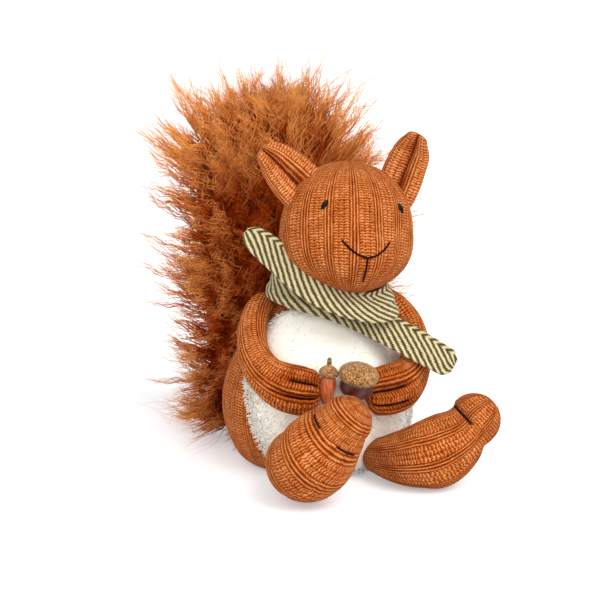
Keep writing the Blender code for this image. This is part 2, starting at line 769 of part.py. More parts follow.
def large_acorn_base():
    angle, share = LARGE_PLACE
    return body_point(angle, share, PATCH_PILE + LARGE_NUT_RADIUS + LARGE_STAND_OFF)


def small_acorn_base():
    angle, share = SMALL_PLACE
    return body_point(angle, share, PATCH_PILE + SMALL_NUT_RADIUS + SMALL_STAND_OFF)


def nut_shape(base, axis, radius, length):
    return turned_shape(base, axis, [(a * length, r * radius) for a, r in NUT_PROFILE])


def cap_shape(base, axis, radius, start, height, stem):
    """A domed cap over the top of the nut, with or without its stem."""
    rim, top = start + GAP, start + height
    profile = [(rim + a * (top - rim), r * radius) for a, r in CAP_PROFILE]
    if stem:
        profile += [(top + a * stem, r * stem) for a, r in STEM_PROFILE]
    else:
        profile += [(top * 0.99, radius * 0.25), (top, 0)]
    return turned_shape(base, axis, profile)


# The tail

def tail_stations(count):
    return smooth_course(TAIL_CORE, count)


def tail_ring(station, columns, shift):
    y, z, half, deep, x = station * MM
    ring = []
    for column in range(columns):
        turn = 2 * math.pi * (column + shift) / columns
        ring.append(np.array([x + half * math.cos(turn), y + deep * math.sin(turn), z]))
    return ring


def inside_body(point, clear):
    share = point[2] / BODY_HEIGHT
    if share < -0.1 or point[2] > BODY_HEIGHT + clear:
        return False
    radius = body_radius(min(max(share, 0.0), 1.0)) + clear
    return math.hypot(point[0], point[1] / BODY_DEPTH_SHARE) < radius


def inside_head(point, clear):
    side, forward, up = head_axes()
    away = point - np.array(HEAD_CENTRE)
    local = np.array([away @ side, away @ forward, away @ up])
    distance = np.linalg.norm(local)
    return distance < head_reach(local / max(distance, MM)) + clear


def blocked(point):
    return inside_body(point, LOCK_CLEARANCE) or inside_head(point, LOCK_CLEARANCE)


def lock_lattice(rings):
    """Triangles over staggered rings, and the end faces."""
    count = len(rings[0])
    verts = [np.array(p) for ring in rings for p in ring]
    triangles = []
    for row in range(len(rings) - 1):
        low, high = row * count, (row + 1) * count
        for column in range(count):
            after = (column + 1) % count
            if row % 2 == 0:
                triangles.append((low + column, low + after, high + column))
                triangles.append((low + after, high + after, high + column))
            else:
                triangles.append((low + column, high + after, high + column))
                triangles.append((low + column, low + after, high + after))
    last = (len(rings) - 1) * count
    ends = [tuple(reversed(range(count))), tuple(last + column for column in range(count))]
    return verts, triangles, ends


def lock_way(centre, out, rng):
    """Which way a lock of fur grows: outward, and more upward near the top."""
    height = centre[2] / TAIL_HEIGHT
    rise = 0.15 + 1.1 * max(0.0, height - 0.45) - 0.5 * max(0.0, 0.25 - height)
    stray = np.array([rng.uniform(-LOCK_STRAY, LOCK_STRAY) for _ in range(3)])
    return unit(out + np.array([0.0, 0.0, rise]) + stray)


def lock_sway(centre, way, out):
    """How far a lock bends to the side, in waves that run over the whole tail."""
    across = unit(np.cross(way, (0.0, 0.0, 1.0)) + 0.6 * np.cross(way, out))
    phase = 2 * math.pi * centre[2] / LOCK_WAVE_PITCH + 2 * math.atan2(centre[1] - TAIL_MIDDLE, centre[0])
    return across * LOCK_WAVE * math.sin(phase)


def tail_shape():
    """A core whose outer faces are all drawn out into bent, pointed locks of fur."""
    rng = random.Random(SEED)
    stations = tail_stations(TAIL_ROWS)
    rings = []
    for row, station in enumerate(stations):
        rings.append(tail_ring(station, TAIL_COLUMNS, 0.5 if row % 2 else 0.0))
    verts, triangles, out_faces = lock_lattice(rings)
    for face in triangles:
        corners = [verts[i] for i in face]
        centre = sum(corners) / 3
        out = unit(np.cross(corners[1] - corners[0], corners[2] - corners[0]))
        way = lock_way(centre, out, rng)
        sway = lock_sway(centre, way, out)
        length = LOCK_LENGTH * rng.uniform(*LOCK_LENGTH_RANGE)
        tip = centre + way * length - sway
        tip[2] = max(tip[2], FLOOR_CLEARANCE)
        if blocked(tip) or blocked(centre + way * length * 0.5) or blocked(centre):
            out_faces.append(face)
            continue
        bent = centre + way * length * LOCK_BEND[0] + sway
        first = len(verts)
        for corner in corners:
            place = bent + (corner - centre) * LOCK_BEND[1]
            place[2] = max(place[2], FLOOR_CLEARANCE)
            verts.append(place)
        verts.append(tip)
        for here in range(3):
            after = (here + 1) % 3
            out_faces.append((face[here], face[after], first + after, first + here))
            out_faces.append((first + here, first + after, first + 3))
    return outward(verts, out_faces)


RECIPES = {
    "body": KNIT, "head": KNIT, "ear_right": KNIT, "ear_left": KNIT, "arm_right": KNIT, "arm_left": KNIT,
    "leg_right": KNIT, "leg_left": KNIT, "belly_patch": PILE, "scarf": TWEED, "tail": FUR,
    "acorn_large_nut": MAHOGANY, "acorn_large_cap": CAP, "acorn_small_nut": SATIN, "acorn_small_cap": CAP,
}

# Which neighbours are seated into each soft piece.
SEATS = {
    "body": ["head"],
    "belly_patch": ["body", "acorn_large_nut", "acorn_large_cap", "acorn_small_nut", "acorn_small_cap"],
    "ear_right": ["head"],
    "ear_left": ["head"],
    "arm_right": ["body", "belly_patch", "acorn_small_nut", "acorn_small_cap", "acorn_large_nut"],
    "arm_left": ["body", "belly_patch", "acorn_large_nut", "acorn_large_cap"],
    "leg_right": ["body", "belly_patch", "arm_right"],
    "leg_left": ["body", "belly_patch", "leg_right"],
    "scarf": ["head", "body", "belly_patch", "arm_right", "arm_left"],
    "tail": ["body", "head", "arm_right", "arm_left", "scarf", "ear_right", "ear_left"],
}

def soft_shapes():
    return {
        "body": body_shape(),
        "belly_patch": patch_shape(),
        "head": head_shape(),
        "ear_right": ear_shape(EAR_RIGHT_COURSE, EAR_RIGHT_FRONT),
        "ear_left": ear_shape(EAR_LEFT_COURSE, EAR_LEFT_FRONT),
        "arm_right": arm_shape("right", ARM_RIGHT),
        "arm_left": arm_shape("left", ARM_LEFT),
        "leg_right": leg_shape(LEG_RIGHT_COURSE, LEG_RIGHT_PROFILE),
        "leg_left": leg_shape(LEG_LEFT_COURSE, LEG_LEFT_PROFILE),
        "scarf": scarf_shape(),
        "tail": tail_shape(),
    }


def acorn_shapes():
    large, small = large_acorn_base(), small_acorn_base()
    return {
        "acorn_large_nut": nut_shape(large, LARGE_AXIS, LARGE_NUT_RADIUS, LARGE_NUT_LENGTH),
        "acorn_large_cap": cap_shape(
            large, LARGE_AXIS, LARGE_CAP_RADIUS, LARGE_NUT_LENGTH, LARGE_CAP_HEIGHT, 0),
        "acorn_small_nut": nut_shape(small, SMALL_AXIS, SMALL_NUT_RADIUS, SMALL_NUT_LENGTH),
        "acorn_small_cap": cap_shape(
            small, SMALL_AXIS, SMALL_CAP_RADIUS, SMALL_NUT_LENGTH, SMALL_CAP_HEIGHT, SMALL_STEM_RADIUS),
    }


def add_face(head):
    """The eyes and the sewn mouth, seated on the head."""
    for label, side in (("eye_right", -1), ("eye_left", 1)):
        seat(solid(label, eye_shape(side), EYE), {"head": head})
    mouth = solid("mouth_thread", thread_shape(mouth_points()), THREAD)
    join(mouth, "mouth_line", thread_shape(mouth_line_points()))
    seat(mouth, {"head": head})


def add_limb_threads(shapes):
    """The dark lines between the fingers and behind the toes."""
    for limb, stations in (("right", ARM_RIGHT), ("left", ARM_LEFT)):
        for level, side in zip(("lower", "upper"), FINGER_SIDES[limb]):
            thread = thread_shape(finger_points(stations, side))
            made = solid("finger_thread_" + limb + "_" + level, thread, THREAD)
            seat(made, {"arm_" + limb: shapes["arm_" + limb]})
    legs = {"right": (LEG_RIGHT_COURSE, LEG_RIGHT_PROFILE), "left": (LEG_LEFT_COURSE, LEG_LEFT_PROFILE)}
    for name, (limb, share, first, last) in TOE_THREADS.items():
        made = solid(name, thread_shape(toe_points(*legs[limb], share, first, last)), THREAD)
        seat(made, {"leg_" + limb: shapes["leg_" + limb]})


def main():
    clear_scene()
    shapes = soft_shapes()
    shapes.update(acorn_shapes())
    pieces = {name: solid(name, shape, RECIPES[name]) for name, shape in shapes.items()}
    for name, neighbours in SEATS.items():
        seat(pieces[name], {other: shapes[other] for other in neighbours})
    add_face(shapes["head"])
    add_limb_threads(shapes)


main()
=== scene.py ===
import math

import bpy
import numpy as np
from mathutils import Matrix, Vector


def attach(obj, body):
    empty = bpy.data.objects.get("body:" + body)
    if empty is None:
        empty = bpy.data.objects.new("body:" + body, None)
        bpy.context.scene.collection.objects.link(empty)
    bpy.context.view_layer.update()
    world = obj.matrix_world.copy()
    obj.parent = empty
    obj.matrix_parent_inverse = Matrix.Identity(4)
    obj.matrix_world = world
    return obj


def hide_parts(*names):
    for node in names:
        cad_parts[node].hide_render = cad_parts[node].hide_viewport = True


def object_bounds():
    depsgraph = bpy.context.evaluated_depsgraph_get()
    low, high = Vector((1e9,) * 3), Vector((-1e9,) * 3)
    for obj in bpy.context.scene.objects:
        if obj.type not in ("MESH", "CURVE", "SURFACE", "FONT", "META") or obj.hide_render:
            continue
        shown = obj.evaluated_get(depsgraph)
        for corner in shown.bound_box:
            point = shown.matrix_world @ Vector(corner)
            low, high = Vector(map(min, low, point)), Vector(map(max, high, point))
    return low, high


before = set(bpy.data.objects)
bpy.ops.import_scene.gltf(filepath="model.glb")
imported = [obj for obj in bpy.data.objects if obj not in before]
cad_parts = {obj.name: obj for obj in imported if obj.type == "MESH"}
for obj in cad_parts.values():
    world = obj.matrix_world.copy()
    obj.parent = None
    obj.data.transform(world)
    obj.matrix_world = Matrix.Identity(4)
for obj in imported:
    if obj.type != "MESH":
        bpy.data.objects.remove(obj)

# Looks of the plush squirrel: knitted skins, wavy fur, a herringbone scarf, a pile belly and acorns.
# Metres, +Z up. The squirrel faces -Y, so its own left is +X. Every form repeats the sizes of the packed
# solids. Fabric patterns are laid out in a UV layer whose units are millimetres on the cloth.

MM = 0.001
TAU = 2 * math.pi
CAD_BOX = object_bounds()
rng = np.random.default_rng(7)

# The camera, placed from the photograph: angles in degrees, the size of a pixel at the object, and the
# pixel at which the object's origin lies in a 600 by 600 picture.
CAMERA_TURN = -20.0
CAMERA_RISE = 12.0
CAMERA_AWAY = 1.4
PIXEL = 0.69e-3
IMAGE_SIDE = 600
ORIGIN_PIXEL = (316, 458)
SENSOR = 36.0

# Lamps: power, how soft, the side it comes from (0 is the front, minus is the squirrel's right), its rise.
LAMPS = [("key", 1.7, 40, 24, 50), ("fill", 0.5, 70, -60, 30), ("front", 0.9, 60, -10, 16)]
WORLD_LIGHT = 0.66
FLOOR_HALF = 6.0
FLOOR_GLOW = 0.335

# Knit, in millimetres: each repeat has columns of short bars and, beside them, a few smooth ribs.
BAR_COLUMN = 3.6
BAR_COLUMNS = 3
RIB_PITCH = 2.2
RIBS = 3
BARS_WIDTH = BAR_COLUMN * BAR_COLUMNS
KNIT_REPEAT = BARS_WIDTH + RIB_PITCH * RIBS
BAR_PITCH = 1.9
BAR_SLANT = 0.5
KNIT_RELIEF = 0.5 * MM
KNIT_SHADE = -1.09
# How many repeats go round each form.
BODY_REPEATS = 23
HEAD_REPEATS = 15
LEG_REPEATS = 8
ARM_REPEATS = 4
EAR_REPEATS = 4

# Herringbone, in millimetres: wide columns of slanted stripes.
SCARF_COLUMN = 19.0
SCARF_COLUMN_START = 13.0
SCARF_STRIPE = 6.4
SCARF_SLOPE = 1.45
SCARF_YARN = 1.15

# Body, with (share of the height, share of the radius) pairs
BODY_HEIGHT = 123 * MM
BODY_RADIUS = 64.5 * MM
BODY_DEPTH_SHARE = 0.94
BODY_PROFILE = [
    (0.0, 0.64), (0.016, 0.735), (0.06, 0.835), (0.15, 0.925), (0.25, 0.985), (0.36, 1.0),
    (0.455, 0.975), (0.575, 0.895), (0.70, 0.745), (0.81, 0.60), (0.895, 0.475), (0.95, 0.37),
    (0.985, 0.23), (1.0, 0.0),
]
BODY_CLOSED = 0.985

# Belly patch, with (share of the body's height, half angle in degrees) pairs
PATCH_PILE = 4.0 * MM
PATCH_EDGE = [
    (0.04, 38), (0.10, 48), (0.18, 54), (0.34, 60), (0.50, 67), (0.62, 72), (0.75, 72), (0.84, 66),
    (0.905, 50),
]
PATCH_LOW, PATCH_HIGH = PATCH_EDGE[0][0], PATCH_EDGE[-1][0]
GAP = 0.3 * MM
TUFTS = 6000
TUFT_RADIUS = 0.40 * MM
FLOOR_CLEAR = 0.8 * MM

# Head: (radii, middle) of its three rounded forms, in its own axes of side, ahead and up
NECK = 41 * MM
HEAD_CENTRE = np.array([11 * MM, -30 * MM, BODY_HEIGHT + NECK])
HEAD_YAW = 4.0
HEAD_ROLL = 5.0
HEAD_PITCH = 4.0
HEAD_FORMS = [((43, 41, 41), (0, -3, 4)), ((43.5, 40, 31), (0, 0, -9)), ((26, 28, 26), (0, 18, -9))]
HEAD_BLEND = 14
HEAD_POLE_BACK = 20.0
HEAD_MEAN_RADIUS = 43 * MM
EYE_BEARING = (46.0, 31.0)
EYE_WIDTH = 3.4 * MM
EYE_HEIGHT = 7.8 * MM
EYE_STAND = 1.0 * MM
EYE_SLANT = 20.0
MOUTH_HALF_WIDTH = 24.0
MOUTH_CORNER_UP = 4.0
MOUTH_MIDDLE_UP = -9.0
MOUTH_LINE_END = -32.0
THREAD_RADIUS = 0.7 * MM
STITCH_RADIUS = 0.58 * MM
THREAD_ROUND = 1.8

# Ears: stations in the head's axes with a share of the width, and the way that the fold faces
EAR_WIDTH = 27 * MM
EAR_THICKNESS = 9 * MM
EAR_FOLD_DEPTH = 7.0 * MM
EAR_FOLD_SPREAD = 0.26
# The next two are painted shade in the ear's crease and painted light over the whole ear.
EAR_SHADE = 0.75
EAR_PAINTED_LIGHT = 0.22
EARS = {
    "right": ([(-24, -4, 19, 1.12), (-33, -5, 26, 1.22), (-43, -7, 34.5, 1.14), (-53, -8, 43, 0.90),
               (-60, -8, 48, 0.57)], (-0.25, 0.9, 0.35)),
    "left": ([(29.5, -4, 20, 1.0), (33.5, -5, 31, 1.08), (37, -6, 43, 1.06), (40.5, -5, 55, 0.92),
              (41, -1, 64, 0.55)], (-0.6, 0.8, 0.2)),
}

# Arms: angle round the body, share of its height, how far out, half width and half thickness
ARMS = {
    "right": [
        (-100, 0.885, 1, 7.5, 7.5), (-90, 0.86, 7, 9, 8.5), (-80, 0.80, 9.5, 9.5, 9),
        (-70, 0.72, 11, 10, 9.5), (-59, 0.63, 12.5, 11, 9.5), (-47, 0.56, 13.5, 13, 9),
        (-36, 0.52, 13.5, 15.5, 8.5), (-28, 0.505, 13, 16, 8), (-23, 0.50, 12.5, 15, 7.5),
    ],
    "left": [
        (100, 0.885, 1, 7.5, 7.5), (78, 0.86, 10, 9, 8.5), (66, 0.79, 17, 9.5, 9),
        (60, 0.69, 19, 10, 9.5), (51, 0.60, 17, 11.5, 9.5), (41, 0.53, 15.5, 13.5, 9),
        (30, 0.49, 14.5, 16, 8.5), (20, 0.48, 13.5, 16.5, 8), (12.5, 0.48, 12.5, 15.5, 7.5),
    ],
}
# Partly painted shade over the hand, deepest in its finger grooves, and partly the hand's darker yarn.
HAND_SHADE = 0.42
FINGER_GROOVE = 3.2 * MM
FINGER_START = 0.70
FINGER_RUN_IN = 0.12
FINGER_TURNS = {"right": {"lower": 67.5, "upper": 112.5}, "left": {"lower": 135.0, "upper": 90.0}}
FINGER_THREAD_START = 0.78
FINGER_THREAD_END = 1.1
FINGER_THREAD_BEND = 40

# Legs: the middle line, and the radius along it as shares of the leg's radius
LEG_RADIUS = 24 * MM
LEGS = {
    "right": ([(-31, -46, 20), (-39, -66, 22), (-43, -84, 24), (-43, -98, 27.5), (-35, -107, 40),
               (-21, -110, 56.5)],
              [0.50, 0.62, 0.73, 0.81, 0.90, 0.98, 1.02, 1.05, 1.07, 1.02, 0.88, 0.69]),
    "left": ([(20, -52, 14), (28, -72, 17), (38, -85, 20.5), (50, -91, 24), (61, -93, 30),
              (69, -95, 37), (75, -95, 45)],
             [0.42, 0.57, 0.70, 0.80, 0.88, 0.96, 0.97, 0.925, 0.845, 0.76, 0.715, 0.72]),
}
LEG_BEND_SHARE = 6 / 14
LEG_LOWEST = 0.9 * MM
# Threads that pinch a foot: the leg, the share of its length, and the turns where a thread starts and ends.
TOE_THREADS = {
    "toe_thread_right_outer": ("right", 0.93, 65, 25),
    "toe_thread_right_inner": ("right", 0.93, -20, -70),
    "toe_thread_left": ("left", 0.93, 105, 20),
}
TOE_PINCH = 1.5 * MM
TOE_WAIST = {"right": 0.5 * MM, "left": 2.6 * MM}
# The seam between the sole and the upper of each foot, as a turn round the leg.
SOLE_SEAMS = {"right": -52.0, "left": -30.0}
SEAM_DEPTH = 1.0 * MM

# Scarf: place from the top of the body, the way its face looks, and a share of the width
SCARF_THICKNESS = 3.6 * MM
SCARF_WIDTH = 22 * MM
SCARF_CORNER = 6 * MM
SCARF_COURSE = [
    (-53, -8, 40, -0.35, -0.90, 0.20, 0.60), (-44, -17, 32, -0.35, -0.88, 0.15, 0.85),
    (-34, -33, 22, -0.35, -0.85, 0.10, 0.95), (-20, -47, 9, -0.25, -0.85, 0.35, 1.0),
    (-1, -55, -2, -0.10, -0.75, 0.60, 1.0), (20, -56, -7, 0.25, -0.80, 0.50, 1.0),
    (38, -42, -5, 0.75, -0.55, 0.35, 1.0), (41, -10, -2, 0.95, 0.10, 0.25, 0.95),
    (26, 17, -1, 0.60, 0.80, 0.20, 0.9), (0, 27, -1, 0.00, 1.00, 0.20, 0.85),
    (-24, 16, 2, -0.70, 0.70, 0.30, 0.8), (-33, -6, 2, -0.90, -0.10, 0.45, 0.8),
    (-26, -26, -1, -0.60, -0.55, 0.60, 0.85), (-8, -39, -6, -0.10, -0.75, 0.65, 0.95),
    (12, -42, -14, 0.12, -0.80, 0.58, 1.0), (30, -48, -23, 0.12, -0.90, 0.40, 1.0),
    (49, -61, -34, 0.12, -0.92, 0.35, 1.0), (70, -73, -47, 0.10, -0.92, 0.35, 0.90),
]

# Acorns: the place is an angle and a share of the body's height. Each nut and cap is (radius, length).
ACORNS = {
    "large": {"place": (0.5, 0.46), "stand_off": -4.5 * MM, "axis": (0.06, -0.28, 0.96),
              "nut": (11.2 * MM, 15 * MM), "cap": (13.0 * MM, 10.5 * MM), "stem": 0, "loops": 0.35 * MM},
    "small": {"place": (-14.5, 0.43), "stand_off": 0.3 * MM, "axis": (0.10, 0.05, 0.99),
              "nut": (5.4 * MM, 20 * MM), "cap": (6.4 * MM, 8 * MM), "stem": 1.6 * MM, "loops": 0.3 * MM},
}
NUT_PROFILE = [
    (0.0, 0.0), (0.03, 0.16), (0.10, 0.42), (0.25, 0.75), (0.45, 0.95), (0.65, 1.0), (0.85, 0.97),
    (1.0, 0.90),
]
CAP_PROFILE = [(0.0, 0.86), (0.12, 0.98), (0.35, 1.0), (0.62, 0.86), (0.85, 0.55)]
STEM_PROFILE = [(0.0, 1.0), (2.2, 0.85), (3.0, 0.5)]
AXIS_POINT = 0.2 * MM

# Tail: y, z, half width, half depth and x of the core's sections
TAIL_CORE = [
    (88, 8, 40, 14, 0), (88, 28, 46, 20, 0), (88, 62, 48, 23, 0), (88, 100, 49, 24, -1),
    (88, 138, 51, 25, -2), (89, 174, 54, 25, -2), (92, 206, 50, 21, -1), (95, 226, 30, 12, 0),
]
TAIL_HEIGHT = 226 * MM
TAIL_HALF_WIDTH = 50 * MM
LOCK_LENGTH = 23 * MM
LOCK_COUNT = 1080
LOCK_SINK = 1.5 * MM
LOCK_SPREAD = 3.0 * MM
WISP_SHARE = 0.26
FAR_WISP_SHARE = 0.6
FAR_WISP_WAY = (0.9, -0.85, -0.15)
STRANDS_IN_LOCK = 12
STRAND_KNOTS = 8
STRAND_RADIUS = 0.32 * MM
STRAND_TAPER = np.array([0.9, 1.0, 1.0, 0.92, 0.8, 0.62, 0.4, 0.0])
STRAY_SHARE = 0.07
BOX_SHARE = 0.025
BOX_PAST = 9 * MM
CLEAR = 1.0 * MM


# Numbers and courses

def units(vectors):
    vectors = np.asarray(vectors, float)
    return vectors / np.maximum(np.linalg.norm(vectors, axis=-1, keepdims=True), 1e-12)


def smooth_step(value, low, high):
    t = np.clip((value - low) / (high - low), 0, 1)
    return t * t * (3 - 2 * t)


def smooth_course(knots, count):
    """Points evenly spread along a smooth curve through the knots."""
    knots = np.array(knots, float)
    padded = np.vstack([2 * knots[0] - knots[1], knots, 2 * knots[-1] - knots[-2]])
    place = np.linspace(0, len(knots) - 1, count)
    start = np.minimum(place.astype(int), len(knots) - 2)
    t = (place - start)[:, None]
    a, b, c, d = (padded[start + shift] for shift in range(4))
    bend = (2 * a - 5 * b + 4 * c - d) * t * t + (3 * b - a - 3 * c + d) * t ** 3
    return 0.5 * (2 * b + (c - a) * t + bend)


def tangents(points, reach=1):
    last = len(points) - 1
    index = np.arange(last + 1)
    return units(points[np.minimum(index + reach, last)] - points[np.maximum(index - reach, 0)])


def run_length(points):
    """How far along a course each of its points lies."""
    return np.concatenate([[0], np.cumsum(np.linalg.norm(np.diff(points, axis=0), axis=1))])


def turns(count, whole=TAU):
    """Even turns round a form. The last one stops short of the first."""
    return np.linspace(0, whole, count, endpoint=False)


def cross_ways(along):
    """Two directions across a thread or strand."""
    first = units(np.cross(along, np.array([0.31, 0.22, 0.93])))
    return first, np.cross(along, first)


def swept(spine, wide, out, x, y):
    """A grid of sections across a course, from how far each point lies sideways and outward."""
    return spine[:, None] + wide[:, None] * x[..., None] + out[:, None] * y[..., None]


def layout(across, along):
    """The fabric layout of a grid, from its places across and along the cloth."""
    return np.stack(np.broadcast_arrays(across, along[:, None]), axis=-1)


# Meshes

def add_mesh(name, verts, face_groups, uv=None, wrap=None, attributes=None):
    """A smooth mesh from vertices and arrays of equal faces, with its fabric layout in millimetres."""
    mesh = bpy.data.meshes.new(name)
    loops = np.concatenate([np.asarray(f).ravel() for f in face_groups]).astype(np.int32)
    sizes = np.concatenate([np.full(len(f), np.asarray(f).shape[1]) for f in face_groups])
    starts = np.concatenate([[0], np.cumsum(sizes)[:-1]]).astype(np.int32)
    mesh.vertices.add(len(verts))
    mesh.vertices.foreach_set("co", np.asarray(verts, np.float32).ravel())
    mesh.loops.add(len(loops))
    mesh.loops.foreach_set("vertex_index", loops)
    mesh.polygons.add(len(sizes))
    mesh.polygons.foreach_set("loop_start", starts)
    mesh.polygons.foreach_set("use_smooth", np.ones(len(sizes), bool))
    mesh.update(calc_edges=True)
    if uv is not None:
        corners = [unwrapped(np.asarray(uv)[np.asarray(f)], wrap).reshape(-1, 2) for f in face_groups]
        layer = mesh.uv_layers.new(name="fabric")
        layer.uv.foreach_set("vector", np.concatenate(corners).astype(np.float32).ravel())
    for label, values in (attributes or {}).items():
        store(mesh, label, values)
    mesh.validate()
    piece = bpy.data.objects.new(name, mesh)
    bpy.context.scene.collection.objects.link(piece)
    return piece


def store(mesh, label, values):
    """Keeps a number at each vertex, for the materials to read."""
    kept = mesh.attributes.new(label, "FLOAT", "POINT")
    kept.data.foreach_set("value", np.asarray(values, np.float32))


def unwrapped(corner_uv, wrap):
    """Corner layouts whose faces don't run back across the whole cloth where it closes."""
    corner_uv = corner_uv.astype(float).copy()
    for axis, period in enumerate(wrap or ()):
        if period:
            values = corner_uv[..., axis]
            behind = values.max(axis=1, keepdims=True) - values > period / 2
            values += period * behind
    return corner_uv


def grid_faces(rows, columns, closed=True):
    """Four-cornered faces of a grid of points, closed round its columns or not."""
    sides = np.arange(columns if closed else columns - 1)
    row, column = np.meshgrid(np.arange(rows - 1), sides, indexing="ij")
    after = (column + 1) % columns
    low, high = row * columns, (row + 1) * columns
    return np.stack([low + column, low + after, high + after, high + column], axis=-1).reshape(-1, 4)


def tube(name, grid, uv, tips, wrap=None):
    """A closed skin over a (rows, columns, 3) grid that ends in two tips, facing outward."""
    rows, columns = grid.shape[:2]
    verts = np.vstack([grid.reshape(-1, 3), tips])
    flat_uv = np.vstack([uv.reshape(-1, 2), uv[0].mean(axis=0), uv[-1].mean(axis=0)])
    side = np.arange(columns)
    after = (side + 1) % columns
    quads = grid_faces(rows, columns)
    first, last = np.full(columns, rows * columns), np.full(columns, rows * columns + 1)
    end = (rows - 1) * columns
    low = np.stack([first, after, side], axis=-1)
    high = np.stack([end + side, end + after, last], axis=-1)
    fans = np.vstack([low, high])
    if volume(verts, quads, fans) < 0:
        quads, fans = quads[:, ::-1], fans[:, ::-1]
    return add_mesh(name, verts, [quads, fans], flat_uv, wrap)


def volume(verts, quads, fans):
    """Six times the volume inside the faces, below zero where they face inward."""
    both = np.vstack([quads[:, [0, 1, 2]], quads[:, [0, 2, 3]], fans])
    a, b, c = (verts[both[:, corner]] for corner in range(3))
    return float(np.einsum("ij,ij->i", a, np.cross(b, c)).sum())


def grid_normals(grid):
    """Outward directions of a tube's grid, from its rows and columns."""
    along = np.gradient(grid, axis=0)
    around = np.roll(grid, -1, axis=1) - np.roll(grid, 1, axis=1)
    normals = units(np.cross(along, around))
    away = grid - grid.mean(axis=1, keepdims=True)
    return normals * np.sign(np.einsum("ijk,ijk->ij", normals, away).mean())


def knit_relief(u, v):
    """Height of the knit, 0 to 1: round ribs between wide, flatter columns of bars."""
    place = np.mod(u, KNIT_REPEAT)
    rib = np.abs(np.sin(np.pi * (place - BARS_WIDTH) / RIB_PITCH)) ** 0.7
    column = np.abs(np.sin(np.pi * place / BAR_COLUMN)) ** 0.5
    wander = 0.12 * np.sin(v / 3.1 + 5 * np.floor(place / BAR_COLUMN))
    return np.where(place > BARS_WIDTH, rib, 0.5 + 0.3 * column + wander)


def knitted(name, grid, uv, tips, wrap, relief=KNIT_RELIEF):
    """A knitted skin: the grid with ribs and bars raised on it, and less of them at its two ends."""
    height = knit_relief(uv[..., 0], uv[..., 1]) - 0.5
    fade = np.ones(len(grid))
    fade[:2] = fade[-2:] = 0.4
    raised = grid + grid_normals(grid) * (height * relief * fade[:, None])[..., None]
    raised[..., 2] = np.maximum(raised[..., 2], 0.0)
    return tube(name, raised, uv, tips, wrap)


def strands(name, paths, radii, attributes=None):
    """Closed, tapered, three-sided tubes along many paths at once: (count, knots, 3) and radii."""
    count, knots = paths.shape[:2]
    first, second = cross_ways(units(np.gradient(paths, axis=1)))
    rings = []
    for turn in turns(3):
        reach = math.cos(turn) * first[:, :-1] + math.sin(turn) * second[:, :-1]
        rings.append(paths[:, :-1] + reach * radii[:, :-1, None])
    each = (knots - 1) * 3 + 1
    verts = np.concatenate([np.stack(rings, axis=2).reshape(count, each - 1, 3), paths[:, -1:]], axis=1)
    top = (knots - 2) * 3
    tris = [(2, 1, 0)] + [(top + side, top + (side + 1) % 3, each - 1) for side in range(3)]
    offset = (np.arange(count) * each)[:, None, None]
    quads = (grid_faces(knots - 1, 3)[None] + offset).reshape(-1, 4)
    tris = (np.array(tris)[None] + offset).reshape(-1, 3)
    knot = np.arange(each) // 3
    shades = {label: np.broadcast_to(values, (count, knots))[:, knot].ravel()
              for label, values in (attributes or {}).items()}
    return add_mesh(name, verts.reshape(-1, 3), [quads, tris], attributes=shades)


# Materials

def srgb(red, green, blue):
    """A colour as it shows on screen, 0 to 255, turned to the linear values of a shader."""
    shares = np.array([red, green, blue]) / 255
    linear = np.where(shares <= 0.04045, shares / 12.92, ((shares + 0.055) / 1.055) ** 2.4)
    return (*[float(v) for v in linear], 1.0)


class Value:
    """A number that a material works out at each point. Sums and products of it add Math nodes."""

    def __init__(self, tree, socket):
        self.tree, self.socket = tree, socket

    def math(self, operation, *others, clamp=False):
        node = self.tree.nodes.new("ShaderNodeMath")
        node.operation, node.use_clamp = operation, clamp
        for socket, value in zip(node.inputs, (self, *others)):
            feed(self.tree, socket, value)
        return Value(self.tree, node.outputs[0])

    def __add__(self, other):
        return self.math("ADD", other)

    def __sub__(self, other):
        return self.math("SUBTRACT", other)

    def __mul__(self, other):
        return self.math("MULTIPLY", other)

    def __truediv__(self, other):
        return self.math("DIVIDE", other)

    def wave(self, pitch, shift=0.0):
        """A wave between 0 and 1 with that pitch."""
        return (self * (TAU / pitch) + shift).math("SINE") * 0.5 + 0.5


def feed(tree, socket, value):
    """Links a value to a socket, or sets a plain number on it."""
    if isinstance(value, Value):
        tree.links.new(value.socket, socket)
    else:
        socket.default_value = value


def blend(share, first, second):
    """A number that goes from the first to the second."""
    node = share.tree.nodes.new("ShaderNodeMix")
    for index, value in ((0, share), (2, first), (3, second)):
        feed(share.tree, node.inputs[index], value)
    return Value(share.tree, node.outputs[0])


def noise(tree, scale, detail, vector, roughness=0.5):
    node = tree.nodes.new("ShaderNodeTexNoise")
    for label, value in (("Scale", scale), ("Detail", detail), ("Roughness", roughness)):
        node.inputs[label].default_value = value
    tree.links.new(vector, node.inputs["Vector"])
    return Value(tree, node.outputs["Fac"])


def object_place(tree):
    return tree.nodes.new("ShaderNodeTexCoord").outputs["Object"]


def fabric_place(tree):
    """The fabric layout in millimetres: as a vector, and as numbers across and along the cloth."""
    layer = tree.nodes.new("ShaderNodeUVMap")
    layer.uv_map = "fabric"
    split = tree.nodes.new("ShaderNodeSeparateXYZ")
    tree.links.new(layer.outputs[0], split.inputs[0])
    return layer.outputs[0], Value(tree, split.outputs[0]), Value(tree, split.outputs[1])


def stretched(u, v, across, along):
    """The fabric layout as a vector, scaled apart across and along the cloth."""
    node = u.tree.nodes.new("ShaderNodeCombineXYZ")
    feed(u.tree, node.inputs[0], u * across)
    feed(u.tree, node.inputs[1], v * along)
    return node.outputs[0]


def stored(tree, label):
    """A number kept at the vertices."""
    node = tree.nodes.new("ShaderNodeAttribute")
    node.attribute_name = label
    return Value(tree, node.outputs["Fac"])


